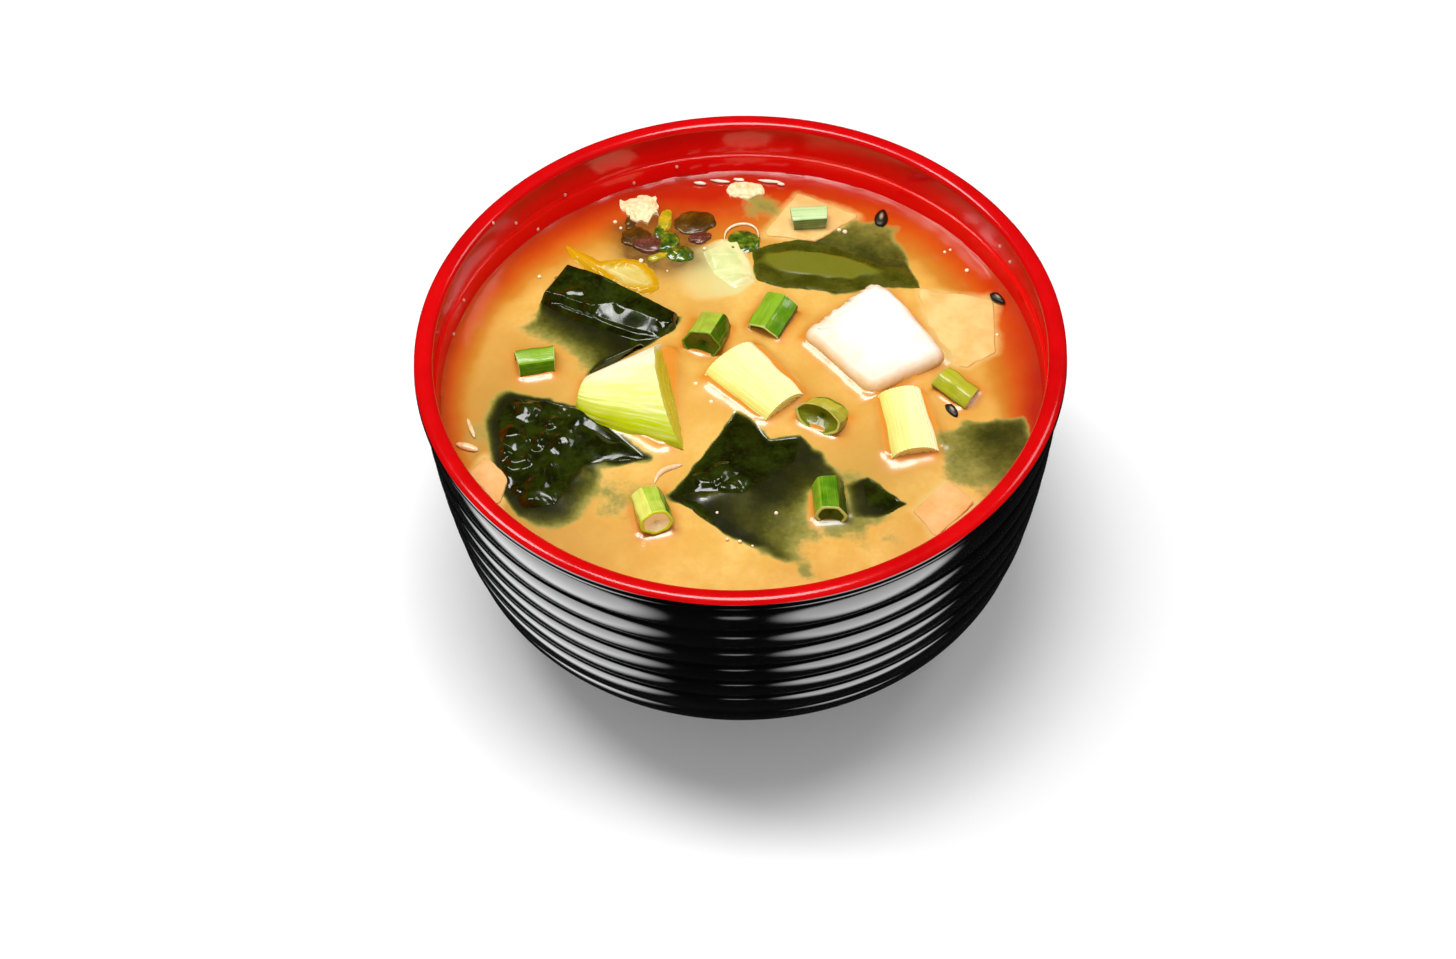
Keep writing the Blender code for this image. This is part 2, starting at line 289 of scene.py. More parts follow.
def sums(tree, operation, first, second, clamp=False):
    """One Math node on two sockets or numbers."""
    made = node(tree, "ShaderNodeMath", {"operation": operation, "use_clamp": clamp})
    for socket, value in zip(made.inputs, (first, second)):
        plug(tree, socket, value)
    return made.outputs["Value"]


def between(tree, value, from_low, from_high, to_low=0.0, to_high=1.0):
    """A number carried from one range to another, held at the ends."""
    ranges = {"From Min": from_low, "From Max": from_high, "To Min": to_low, "To Max": to_high}
    return node(tree, "ShaderNodeMapRange", ranges, Value=value).outputs["Result"]


print("mix helpers ready")


# %% Parts that every finish has
def clouded(tree, value, cloud, by, clamp=False):
    """A number raised and lowered by up to this much where a noise is high and where it is low."""
    return sums(tree, "ADD", value, between(tree, cloud, 0.3, 0.7, -by, by), clamp)


def finish(name, roughness, ior=1.45, **settings):
    """A new material with its Principled shader: (material, node tree, shader)."""
    made = bpy.data.materials.new(name)
    made.use_nodes = True
    tree = made.node_tree
    shader = tree.nodes["Principled BSDF"]
    shader.inputs["Roughness"].default_value = roughness
    shader.inputs["IOR"].default_value = ior
    for key, value in settings.items():
        shader.inputs[key.replace("_", " ")].default_value = value
    return made, tree, shader


def coloured(tree, shader, colour, noise, least, most, noise_low=0.3, noise_high=0.7):
    """Gives the shader its colour, and a roughness that a noise carries from the least to the most."""
    tree.links.new(colour, shader.inputs["Base Color"])
    tree.links.new(between(tree, noise, noise_low, noise_high, least, most), shader.inputs["Roughness"])


def bumped(tree, shader, height, depth):
    """Turns a height into slopes of the surface. Depth is in mm for a height of 1."""
    made = node(tree, "ShaderNodeBump", {"Strength": 1.0, "Distance": depth * MM}, Height=height)
    tree.links.new(made.outputs["Normal"], shader.inputs["Normal"])


print("finish helpers ready")

# %% [markdown]
# ## The view
# The camera looks down into the bowl from the eater's side at about 51 degrees, with a long lens from 0.6
# m, and is rolled a little. It aims at a point under the rim, given as shares of the rim's radius, so that
# the whole bowl is in the frame.

# %% Camera
VIEW_ELEVATION = math.radians(50.9)
VIEW_ROLL = math.radians(-1.685)
VIEW_DISTANCE = 605.8 * MM
LENS = 74.18
SENSOR_WIDTH = 36.0
AIM_LEFT, AIM_DROP = 0.0484, 0.6676
aim = Vector((-AIM_LEFT * RIM_RADIUS, 0.0, BOWL_HEIGHT - AIM_DROP * RIM_RADIUS)) * MM
back = Vector((0.0, -math.cos(VIEW_ELEVATION), math.sin(VIEW_ELEVATION)))
lens = bpy.data.cameras.new("view")
lens.lens = LENS
lens.sensor_width = SENSOR_WIDTH
camera = bpy.data.objects.new("view", lens)
camera.location = aim + back * VIEW_DISTANCE
camera.rotation_mode = "QUATERNION"
camera.rotation_quaternion = (-back).to_track_quat("-Z", "Y") @ Quaternion((0.0, 0.0, 1.0), VIEW_ROLL)
scene.collection.objects.link(camera)
scene.camera = camera
print(f"camera at {[round(v, 3) for v in camera.location]} m")

# %% [markdown]
# ## Light and floor
# A studio sets a bowl like this on white and lights it from above, so that the wet food glints and the
# white burns out. A wide softbox overhead and one in front fill the shadows, and neither shows in gloss.
# The four smaller ones do, and their mirror images are the glints. Gloss needs something to mirror as well:
# the world is a dim room with pale patches low down at the left, the right and the front, which the ribs
# draw out into long grey bands. The floor is left out of the mirror images, because the real bowl stands
# on its own black tray.


# %% Softboxes
LIGHTS_AIM = Vector((0.0, 0.0, 0.05))
SOFTBOXES = {
    "overhead": ((0.0, 0.10, 0.95), 0.50, 1.3),
    "glint": ((0.01, 0.02, 0.85), 0.30, 2.7),
    "slant_light": ((-0.20, 0.06, 0.88), 0.20, 1.2),
    "left_window": ((-0.42, 0.18, 0.82), 0.26, 2.1),
    "right_window": ((0.55, 0.30, 0.70), 0.25, 0.8),
    "front_fill": ((0.0, -0.90, 0.55), 0.6, 3.0),
}
ONLY_FILL = ("overhead", "front_fill")


def softbox(name, place, width, power):
    """A round soft light at this place, this wide in metres, turned to the middle of the bowl."""
    light = bpy.data.lights.new(name, "AREA")
    light.shape = "DISK"
    light.size = width
    light.energy = power
    made = bpy.data.objects.new(name, light)
    made.location = place
    made.rotation_mode = "QUATERNION"
    made.rotation_quaternion = (LIGHTS_AIM - Vector(place)).to_track_quat("-Z", "Y")
    made.visible_glossy = name not in ONLY_FILL
    scene.collection.objects.link(made)
    made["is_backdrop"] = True


for name, (place, width, power) in SOFTBOXES.items():
    softbox(name, place, width, power)
print(f"softboxes: {len(SOFTBOXES)}")

# %% Floor
FLOOR_HALF = 3.0
floor_corners = [(FLOOR_HALF * a, FLOOR_HALF * b, 0.0) for a, b in ((-1, -1), (1, -1), (1, 1), (-1, 1))]
floor_mesh = bpy.data.meshes.new("floor")
floor_mesh.from_pydata(floor_corners, [], [(0, 1, 2, 3)])
floor_finish, _, floor_shader = finish("white_card", 0.9)
floor_shader.inputs["Base Color"].default_value = linear("#FAFAFA")
floor_mesh.materials.append(floor_finish)
floor = bpy.data.objects.new("floor", floor_mesh)
floor.visible_glossy = False
scene.collection.objects.link(floor)
floor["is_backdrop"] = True
print(f"floor: {2.0 * FLOOR_HALF:.0f} m wide")

# %% Room
ROOM_LIGHT = 0.28
ROOM_IN_GLOSS = 0.015
GLOSS_PATCHES = (
    ((-0.60, -0.17, -0.70), 0.48, 4.2),
    ((0.43, -0.42, -0.74), 0.40, 4.2),
    ((-0.05, -0.63, -0.78), 0.07, 2.0),
)
PATCH_FLATTENED = (1.0, 1.0, 1.4)
PATCH_CORE = 0.72


def room_light():
    """A room that lights softly from everywhere, is white to the camera and is dark to gloss but for its
    patches, each a direction, a radius and a strength that is full within the core's share of the radius."""
    world = bpy.data.worlds.new("studio")
    scene.world = world
    world.use_nodes = True
    tree = world.node_tree
    background = tree.nodes["Background"]
    place = node(tree, "ShaderNodeTexCoord").outputs["Generated"]
    path = node(tree, "ShaderNodeLightPath")
    shine = ROOM_IN_GLOSS
    for middle, radius, patch_strength in GLOSS_PATCHES:
        offset = node(tree, "ShaderNodeVectorMath", {"operation": "SUBTRACT", 1: middle}, _0=place)
        flatter = {"operation": "MULTIPLY", 1: PATCH_FLATTENED}
        offset = node(tree, "ShaderNodeVectorMath", flatter, _0=offset.outputs["Vector"])
        far = node(tree, "ShaderNodeVectorMath", {"operation": "LENGTH"}, _0=offset.outputs["Vector"])
        patch = between(tree, far.outputs["Value"], radius, PATCH_CORE * radius, 0.0, patch_strength)
        shine = sums(tree, "ADD", patch, shine)
    shine = sums(tree, "MULTIPLY", shine, path.outputs["Is Glossy Ray"])
    strength = sums(tree, "ADD", shine, sums(tree, "MULTIPLY", path.outputs["Is Diffuse Ray"], ROOM_LIGHT))
    tree.links.new(sums(tree, "ADD", strength, path.outputs["Is Camera Ray"]), background.inputs["Strength"])
    background.inputs["Color"].default_value = (1.0, 1.0, 1.0, 1.0)


room_light()
scene.view_settings.view_transform = "Standard"
print("room ready")

# %% [markdown]
# ## The bowl
# The real bowl is turned and moulded resin with a lacquer skin: black and ribbed outside, bright red inside
# and over the lip. A turned shape is a profile carried round an axis, which the Screw modifier would do;
# here the profile is worked out as an array, because each rib needs many points for its soft swell, and the
# number of a profile point tells which colour its faces take.

# %% Bowl sizes
LIP_WIDTH = 3.7
LIP_ROUND = 1.15
LIP_DROP = 2.6
LIP_OVERHANG = 1.0
RIB_COUNT = 6
FIRST_RIB_DROP = 3.4
FIRST_RIB_HEIGHT = 7.2
RIB_HEIGHT = 6.06
RIB_DEPTH = 0.55
FOOT_RADIUS = 30.5
FOOT_HEIGHT = 7.0
FLOOR_THICKNESS = 4.0
SHOULDER_RADIUS = 33.5
LEDGE_DROP, LEDGE_RADIUS = 8.9, 58.8
LEDGE_WIDTH = 0.45
WALL_RADIUS, WALL_LEAN, WALL_BEND = 60.49, 0.0931, 0.00232
WALL_RADIUS_DROP = 0.3 * RIM_RADIUS
WALL_FOOT_DROP, WALL_FOOT_RADIUS = 40.0, 55.0
FLOOR_RADIUS = 30.0
RED_ENDS_AT = math.radians(22.0)
SEAM_GROOVE = (0.06, 0.05)
LIP_EDGE_REACH, LIP_EDGE_STARTS = (0.48, 0.7), math.radians(50.0)
LEDGE_ROUND = 0.35
WALL_POINTS, LIP_POINTS, SHOULDER_POINTS, RIB_POINTS = 14, 22, 24, 22
FULLEST_ABOVE_MIDDLE = 0.85
print(f"lip {LIP_WIDTH} mm wide, {RIB_COUNT} ribs, foot {2.0 * FOOT_RADIUS:.0f} mm across")


# %% Arcs and ribs
def arc(middle, reach, first, last, steps):
    """Points on an elliptical arc round (radius, height), from the first to the last angle in radians."""
    turn = np.linspace(first, last, steps)
    return np.stack([middle[0] + reach[0] * np.cos(turn), middle[1] + reach[1] * np.sin(turn)], axis=1)


def wall_radius(drop):
    """The outside at a depth under the rim: radius - lean * b - bend * b^2, at b below the drop where that
    radius is, so that the wall is almost upright under the lip and leans in further down."""
    below = drop - WALL_RADIUS_DROP
    return WALL_RADIUS - WALL_LEAN * below - WALL_BEND * below**2


def ribs():
    """The outside from under the lip to the last rib: between two narrow grooves each rib swells as the
    root of a sine, fullest a little above its middle."""
    drops, depths = [], []
    top = FIRST_RIB_DROP
    for i in range(RIB_COUNT):
        height = FIRST_RIB_HEIGHT if i == 0 else RIB_HEIGHT
        share = np.linspace(0.0, 1.0, RIB_POINTS, endpoint=i == RIB_COUNT - 1)
        drops.append(top + share * height)
        depths.append(1.0 - np.sqrt(np.sin(math.pi * share**FULLEST_ABOVE_MIDDLE)).clip(0.0, 1.0))
        top += height
    drop, depth = np.concatenate(drops), np.concatenate(depths)
    return np.stack([wall_radius(drop) + RIB_DEPTH * (0.5 - depth), BOWL_HEIGHT - drop], axis=1), top


print(f"ribs end {FIRST_RIB_DROP + FIRST_RIB_HEIGHT + (RIB_COUNT - 1) * RIB_HEIGHT:.1f} mm under the rim")


# %% The red inside and the black outside
def red_profile():
    """Up the inside: the swept corner, the wall, the ledge's step, the wall over it and most of the lip."""
    floor_height = FOOT_HEIGHT + FLOOR_THICKNESS
    corner = BOWL_HEIGHT - WALL_FOOT_DROP
    sweep_reach = (WALL_FOOT_RADIUS - FLOOR_RADIUS, corner - floor_height)
    sweep = arc((FLOOR_RADIUS, corner), sweep_reach, -math.pi / 2, 0.0, WALL_POINTS)
    share = np.linspace(0.1, 0.985, WALL_POINTS)[:, None]
    ledge = np.array([LEDGE_RADIUS, BOWL_HEIGHT - LEDGE_DROP])
    wall = sweep[-1] + (ledge - sweep[-1]) * share
    step = arc(ledge + (LEDGE_WIDTH, -0.15), (LEDGE_WIDTH, LEDGE_ROUND), 0.95 * math.pi, math.pi / 2, 7)
    lip_reach = (LIP_WIDTH / 2.0, LIP_ROUND)
    lip_middle = np.array([RIM_RADIUS, BOWL_HEIGHT]) - lip_reach
    upper = np.linspace(step[-1] + (0.12, 0.15), lip_middle - (lip_reach[0], 0.3), 8)
    lip = arc(lip_middle, lip_reach, math.pi, RED_ENDS_AT, LIP_POINTS)
    return np.concatenate([sweep, wall, step, upper, lip])


FOOT_POINTS = [
    (0.6, -0.3), (0.9, -1.2), (0.0, 0.5), (0.15, 0.1), (0.5, 0.0), (2.4, 0.0), (2.8, 0.4), (3.6, -0.8),
    (4.6, FOOT_HEIGHT), (FOOT_RADIUS / 2.0, FOOT_HEIGHT),
]


def foot_profile():
    """Down the foot ring's outside, under it and in to the middle. Each point is an inset from the foot's
    radius and a height, taken up from the table or, where it is below zero, down from the ring's root."""
    inset, height = np.array(FOOT_POINTS).T
    return np.stack([FOOT_RADIUS - inset, np.where(height < 0.0, FOOT_HEIGHT + height, height)], axis=1)


def black_profile(last_red):
    """Down the outside from the seam beside the last red point: the lip's black edge and its underside, the
    ribs, the round shoulder and the foot."""
    seam = last_red - SEAM_GROOVE
    edge_middle = (RIM_RADIUS - 0.5, BOWL_HEIGHT - LIP_DROP + LIP_EDGE_REACH[1])
    lip_edge = arc(edge_middle, LIP_EDGE_REACH, LIP_EDGE_STARTS, -math.pi / 2, 9)
    under = np.array([[RIM_RADIUS - LIP_OVERHANG, BOWL_HEIGHT - LIP_DROP + 0.05]])
    ribbed, ribs_end = ribs()
    wide, high_end = ribbed[-1][0], BOWL_HEIGHT - ribs_end
    shoulder_reach = (wide - SHOULDER_RADIUS, high_end - FOOT_HEIGHT)
    shoulder = arc((SHOULDER_RADIUS, high_end), shoulder_reach, 0.0, -math.pi / 2, SHOULDER_POINTS)[1:]
    return np.concatenate([[seam], lip_edge, under, ribbed, shoulder, foot_profile()])


red_half = red_profile()
first_black = len(red_half)
profile = np.concatenate([red_half, black_profile(red_half[-1])])
print(f"bowl profile: {len(profile)} points, {first_black} of them red")

# %% [markdown]
# ## Lacquer
# Lacquer is a clear, hard resin skin over colour: sharp mirror images, hardly any spread, and hair-fine rub
# marks where chopsticks and cloths have passed. The black is almost without colour of its own. The red is
# deeper on the lip and brighter down inside, where light goes from wall to wall and is red already, so a
# second red is mixed in by height.


# %% Lacquer finishes
LOWER_STARTS, LOWER_IS_FULL = 2.0, 6.0


def lacquer(name, deep, bright, roughness, ior, lower=None):
    """Glossy resin lacquer: one colour with a faint cloud in it, a lower one from a few mm under the rim
    down, and fine rub marks in the roughness and the bump."""
    made, tree, shader = finish(name, roughness, ior=ior)
    cloud = spots(tree, 14.0, detail=3.0)
    colour = mixed(tree, between(tree, cloud, 0.35, 0.65), deep, bright)
    if lower:
        place = node(tree, "ShaderNodeTexCoord").outputs["Object"]
        height = node(tree, "ShaderNodeSeparateXYZ", Vector=place).outputs["Z"]
        starts, full = ((BOWL_HEIGHT - drop) * MM for drop in (LOWER_STARTS, LOWER_IS_FULL))
        colour = mixed(tree, between(tree, height, starts, full), colour, lower)
    rubs = spots(tree, 1.6, detail=6.0, rough=0.7, stretch=(1.0, 1.0, 0.12))
    coloured(tree, shader, colour, rubs, 0.7 * roughness, 1.7 * roughness, noise_high=0.75)
    bumped(tree, shader, rubs, 0.004)
    return made


black_lacquer = lacquer("moulded_resin_black_lacquer", "#020202", "#050506", 0.07, 1.55)
red_lacquer = lacquer("moulded_resin_red_lacquer", "#BE0305", "#CC0508", 0.12, 1.46, lower="#EC0808")
print("lacquer: black and red")

# %% Turn the bowl
TURN_STEPS = 256


def turned(name, outline, material):
    """A profile of (radius, height) points carried round Z: x = r cos a, y = r sin a. Fans close its ends."""
    turn = np.linspace(0.0, TAU, TURN_STEPS, endpoint=False)
    rings = np.empty((len(outline), TURN_STEPS, 3))
    rings[:, :, 0] = outline[:, :1] * np.cos(turn)
    rings[:, :, 1] = outline[:, :1] * np.sin(turn)
    rings[:, :, 2] = outline[:, 1:]
    return ringed(name, rings, material, smooth_below=50.0)


bowl = turned("lacquer_bowl", profile, black_lacquer)
bowl.data.materials.append(red_lacquer)
band = np.arange(len(bowl.data.polygons)) // TURN_STEPS
floor_fan = len(profile) - 1
is_red = (band < first_black - 1) | (band == floor_fan)
bowl.data.polygons.foreach_set("material_index", is_red.astype(np.int32))
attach(bowl, "root")
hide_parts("bowl")
print(f"bowl: {len(bowl.data.polygons)} faces")

# %% [markdown]
# ## Places taken from the frame
# Every piece keeps to its solid. A node's box gives two opposite corners, and a place on the piece is a
# share of the way between them: (0, 0) is the box's left corner nearest the eater and (1, 1) the far right
# one. Tofu has the plan corners of its block, leek the middles of its two ends and their half widths, and
# scallion a heading in degrees with a length and a radius in mm.


# %% Places of tofu, leek and scallion
def plan(name, shares):
    """Plan points in mm at these shares of a node's box."""
    near, far = (np.array(corner[:2]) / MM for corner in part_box(name))
    return near + (far - near) * np.array(shares)


TOFU_CORNERS = {
    "tofu_large": [(0.52, 1.02), (-0.02, 0.56), (0.45, -0.05), (1.02, 0.27), (0.66, 0.93)],
    "tofu_right": [(1.03, 0.83), (0.0, 1.0), (0.16, 0.02), (0.58, -0.04), (0.97, 0.15)],
    "tofu_back": [(0.36, 1.03), (-0.02, 0.18), (0.52, -0.01), (1.02, 0.51)],
    "tofu_front": [(1.04, 0.62), (0.59, 1.03), (-0.03, 0.48), (0.32, -0.04)],
    "tofu_left": [(0.32, 1.04), (-0.04, 0.67), (0.77, -0.03), (1.03, 0.57)],
}
LEEK_ENDS = {
    "leek_left": [(0.01, 0.54), (0.91, 0.5)],
    "leek_middle": [(0.26, 0.79), (0.8, 0.16)],
    "leek_right": [(0.38, 0.97), (0.57, 0.04)],
}
LEEK_HALF_WIDTHS = {"leek_left": (3.2, 12.4), "leek_middle": (6.6, 5.2), "leek_right": (4.4, 5.0)}
SCALLION_HEADINGS = {
    "scallion_back_left": 72.0,
    "scallion_back_right": 60.0,
    "scallion_left": 8.0,
    "scallion_ring": 60.0,
    "scallion_right": -40.0,
    "scallion_front_left": -78.0,
    "scallion_front_right": -88.0,
    "scallion_on_tofu": 3.0,
}
SCALLION_SIZES = {
    "scallion_back_left": (8.2, 4.2),
    "scallion_back_right": (8.0, 4.0),
    "scallion_left": (7.2, 3.1),
    "scallion_ring": (5.4, 4.8),
    "scallion_right": (7.4, 3.0),
    "scallion_front_left": (9.4, 3.3),
    "scallion_front_right": (8.0, 3.3),
    "scallion_on_tofu": (6.8, 2.6),
}


print("large tofu corners, mm:", plan("tofu_large", TOFU_CORNERS["tofu_large"]).round(1).tolist())


# %% Plan outlines of leek and scallion
def leek_outline(name):
    """The plan outline of a leek: its axis between two ends, widened by its half widths."""
    start, end = plan(name, LEEK_ENDS[name])
    along = (end - start) / np.linalg.norm(end - start)
    across = np.array([-along[1], along[0]])
    near, far = LEEK_HALF_WIDTHS[name]
    return [start - across * near, start + across * near, end + across * far, end - across * far]


def scallion_outline(name):
    """The plan outline of a scallion cut: its length along its heading, its radius to each side."""
    turn = math.radians(SCALLION_HEADINGS[name])
    along = np.array([math.cos(turn), math.sin(turn)])
    across = np.array([-along[1], along[0]])
    length, radius = SCALLION_SIZES[name]
    middle = plan(name, [(0.5, 0.5)])[0]
    corners = ((-1, -1), (1, -1), (1, 1), (-1, 1))
    return [middle + along * length / 2 * a + across * radius * b for a, b in corners]


print("leek_middle outline, mm:", np.round(leek_outline("leek_middle"), 1).tolist())

# %% [markdown]
# ## Outlines of the leaves
# A leaf has two outlines as shares of its box: the whole sheet, most of which may hang under the surface,
# and the part that stands out of the broth. Straight stretches between a few corners are enough, because
# the sheet rounds and tears its edge later.

# %% Whole leaves
WHOLE_LEAVES = {
    "wakame_left": [
        (-0.07, 1.03), (0.11, 1.05), (0.38, 0.99), (0.66, 0.89), (0.86, 0.70), (1.13, 0.46), (0.95, 0.40),
        (0.77, 0.37), (0.80, 0.19), (0.72, -0.06), (0.50, -0.15), (0.29, -0.09), (0.13, 0.10), (0.01, 0.39),
        (-0.05, 0.65), (-0.10, 0.86),
    ],
    "wakame_back": [
        (0.19, 1.07), (0.44, 0.89), (0.74, 0.59), (1.02, 0.28), (1.00, 0.10), (0.85, -0.06), (0.74, -0.17),
        (0.52, -0.39), (0.33, -0.55), (0.24, -0.29), (0.10, -0.13), (-0.04, -0.07), (-0.21, 0.06),
        (-0.08, 0.31), (0.01, 0.60),
    ],
    "wakame_middle": [
        (0.43, 1.03), (0.55, 0.96), (0.67, 0.82), (0.89, 0.85), (1.04, 0.71), (1.21, 0.52), (1.40, 0.34),
        (1.42, 0.08), (1.24, -0.16), (1.02, -0.13), (0.77, -0.02), (0.53, 0.11), (0.29, 0.23), (0.09, 0.38),
        (-0.07, 0.45), (0.13, 0.67), (0.28, 0.83),
    ],
    "wakame_tip": [
        (-0.47, 0.54), (-0.12, 0.90), (0.34, 1.05), (1.03, 0.28), (0.72, 0.00), (-0.07, -0.24), (-0.41, 0.02),
    ],
    "wakame_far": [
        (-0.06, 0.77), (0.10, 0.89), (0.27, 0.94), (0.44, 1.08), (0.61, 1.27), (0.81, 1.25), (0.92, 1.10),
        (0.97, 0.44), (1.04, -0.09), (0.87, -0.06), (0.54, -0.13), (0.25, -0.02), (0.09, 0.05), (-0.03, 0.17),
    ],
    "cabbage_leaf": [
        (-0.83, 0.56), (-0.38, 0.78), (0.14, 0.86), (0.50, 0.99), (0.76, 0.94), (0.94, 0.49), (1.03, 0.06),
        (0.68, -0.17), (0.12, -0.28), (-0.43, -0.21), (-0.80, 0.00), (-1.02, 0.29),
    ],
    "onion_slice": [
        (-0.01, 1.07), (0.16, 0.90), (0.39, 0.60), (0.67, 0.71), (0.90, 0.57), (1.02, 0.25), (1.06, -0.10),
        (0.95, -0.25), (0.67, -0.20), (0.42, 0.07), (0.22, 0.41), (0.05, 0.73),
    ],
}
print("outlines for", len(WHOLE_LEAVES), "leaves")

# %% Parts out of the broth
DRY_PARTS = {
    "wakame_left": [
        (0.14, 1.00), (0.38, 0.97), (0.67, 0.86), (0.86, 0.68), (1.11, 0.45), (0.81, 0.43), (0.66, 0.40),
        (0.54, 0.19), (0.46, 0.09), (0.25, 0.08), (0.11, 0.29), (0.07, 0.54), (0.04, 0.80),
    ],
    "wakame_back": [
        (0.19, 1.07), (0.44, 0.89), (0.74, 0.59), (1.02, 0.29), (1.00, 0.12), (0.90, -0.01), (0.72, -0.01),
        (0.48, 0.16), (0.29, 0.29), (0.11, 0.46), (-0.01, 0.60),
    ],
    "wakame_middle": [
        (0.43, 1.03), (0.55, 0.95), (0.67, 0.82), (0.89, 0.84), (0.84, 0.68), (0.62, 0.56), (0.48, 0.47),
        (0.16, 0.48), (-0.07, 0.45), (0.13, 0.66), (0.28, 0.83),
    ],
    "wakame_tip": [(0.22, 0.88), (0.34, 1.05), (1.03, 0.28), (0.72, 0.00), (0.27, 0.28)],
    "wakame_far": [
        (-0.06, 0.77), (0.10, 0.89), (0.27, 0.94), (0.46, 0.80), (0.65, 0.59), (0.79, 0.38), (0.95, 0.32),
        (1.04, -0.09), (0.87, -0.06), (0.54, -0.13), (0.25, -0.02), (0.09, 0.05), (-0.03, 0.17),
    ],
    "cabbage_leaf": [
        (0.22, 0.72), (0.50, 0.95), (0.75, 0.90), (0.90, 0.50), (0.96, 0.14), (0.68, -0.01), (0.37, 0.26),
    ],
    "onion_slice": WHOLE_LEAVES["onion_slice"],
}
print("dry parts for", len(DRY_PARTS), "leaves")

# %% [markdown]
# ## How the leaves lie
# A soaked wakame leaf is one thin sheet, part of it out of the broth and part of it drifting just under.
# Both parts have to agree: the piece is shown where the sheet is above the surface, and the broth is tinted
# where it is below, more the nearer it is. So the height of each sheet is one function of the plan, used
# for both.


# %% Folds and blisters
def from_line(x, y, points):
    """Distance in mm to the nearest point of an open line of straight stretches."""
    nearest = np.full(x.shape, FAR_AWAY)
    for (ax, ay), (bx, by) in zip(points[:-1], points[1:]):
        ex, ey = bx - ax, by - ay
        share = np.clip(((x - ax) * ex + (y - ay) * ey) / (ex * ex + ey * ey), 0.0, 1.0)
        nearest = np.minimum(nearest, np.hypot(x - ax - share * ex, y - ay - share * ey))
    return nearest


def bulges(x, y, length, seed):
    """Rounded bulges between sharp valleys: the size of a swell whose places a slower one pushes about."""
    wx = x + 0.3 * length * swell(x, y, 2.0 * length, seed + 1)
    wy = y + 0.3 * length * swell(x, y, 2.0 * length, seed + 2)
    return np.abs(swell(wx, wy, length, seed, waves=9)).clip(0.0, 1.6)


FOLD_LINES = {
    "wakame_left": [(0.67, 0.84), (0.49, 0.61), (0.39, 0.36), (0.30, 0.11)],
    "back_far_edge": [(0.19, 1.06), (1.02, 0.28)],
    "back_near_edge": [(-0.01, 0.59), (0.90, -0.02)],
    "back_curled_edge": [(0.30, -0.67), (0.48, -0.37), (0.74, -0.18)],
}
BLISTERS = {
    "wakame_left": [
        (0.27, 0.89, 3.2, 1.1), (0.16, 0.66, 3.0, 1.3), (0.36, 0.62, 2.4, 1.0), (0.08, 0.52, 2.2, 0.8),
        (0.44, 0.77, 2.5, 0.9), (0.56, 0.87, 2.0, 0.7), (0.23, 0.45, 2.9, 1.0), (0.13, 0.33, 2.4, 0.6),
        (0.33, 0.20, 4.2, 1.0),
    ],
    "wakame_back": [
        (0.24, 0.63, 2.0, 0.35), (0.33, 0.41, 1.5, 0.3), (0.42, 0.31, 1.6, 0.35), (0.13, 0.55, 1.8, 0.3),
        (0.58, 0.42, 1.8, 0.3), (0.90, 0.12, 0.9, 0.25),
    ],
    "wakame_middle": [
        (0.18, 0.55, 2.2, 0.6), (0.31, 0.60, 2.9, 0.8), (0.37, 0.50, 2.2, 0.6), (0.47, 0.56, 1.8, 0.4),
    ],
}
CAP_WIDENED, CAP_RAISED = 1.15, 1.05


def blistered(x, y, name):
    """The leaf's blisters, each (two shares of the box, radius, height): a cap with the height
    h (1 - (d / r)^2)^2 at the distance d from its middle, its radius and height grown a little. Where caps
    meet the higher one counts most, as the cube root of the sum of cubes."""
    x, y = x + 0.6 * swell(x, y, 4.0, 75), y + 0.6 * swell(x, y, 4.0, 76)
    cubes = np.zeros(x.shape)
    for across, up, radius, cap_height in BLISTERS[name]:
        middle = plan(name, [(across, up)])[0]
        far = np.hypot(x - middle[0], y - middle[1]) / (CAP_WIDENED * radius)
        cubes += (CAP_RAISED * cap_height * np.clip(1.0 - far**2, 0.0, 1.0) ** 2) ** 3
    return np.cbrt(cubes)


def slow_swell(x, y):
    """The broth's own slow relief, which everything afloat follows."""
    return 0.10 * swell(x, y, 16.0, seed=3) + 0.035 * swell(x, y, 5.0, seed=4)


print("folds and blisters of", len(BLISTERS), "leaves")

# %% Relief of the left and the back leaf
LEFT_LEAF_LIFT, RIDGE_WIDTH, RIDGE_CRINKLE = 0.14, 2.4, 0.14
WING_STARTS, WING_IS_FULL, WING_BULGE = -37.0, -30.0, 0.2
STRIP_HEIGHT, STRIP_LEANS, STRIP_BULGE = 2.0, 0.3, 0.15
SLOPE_STARTS, SLOPE_STARTS_EARLIER, SLOPE_DROP = 0.86, 0.28, 1.15


def crumpled(x, y):
    """The left leaf: blisters at its left, a crinkled ridge from its far edge to its near one, a smooth
    wing right of that."""
    wing = eased(x, WING_STARTS, WING_IS_FULL)
    ridge = bell(from_line(x, y, plan("wakame_left", FOLD_LINES["wakame_left"])), RIDGE_WIDTH)
    fine, broad = (RIDGE_CRINKLE * swell(x, y, *wave, waves=9) for wave in ((3.0, 74), (5.5, 78)))
    folds = np.cbrt((ridge * (1.0 + fine + broad)) ** 3 + blistered(x, y, "wakame_left") ** 3)
    return LEFT_LEAF_LIFT + folds + WING_BULGE * wing * bulges(x, y, 12.0, 77)


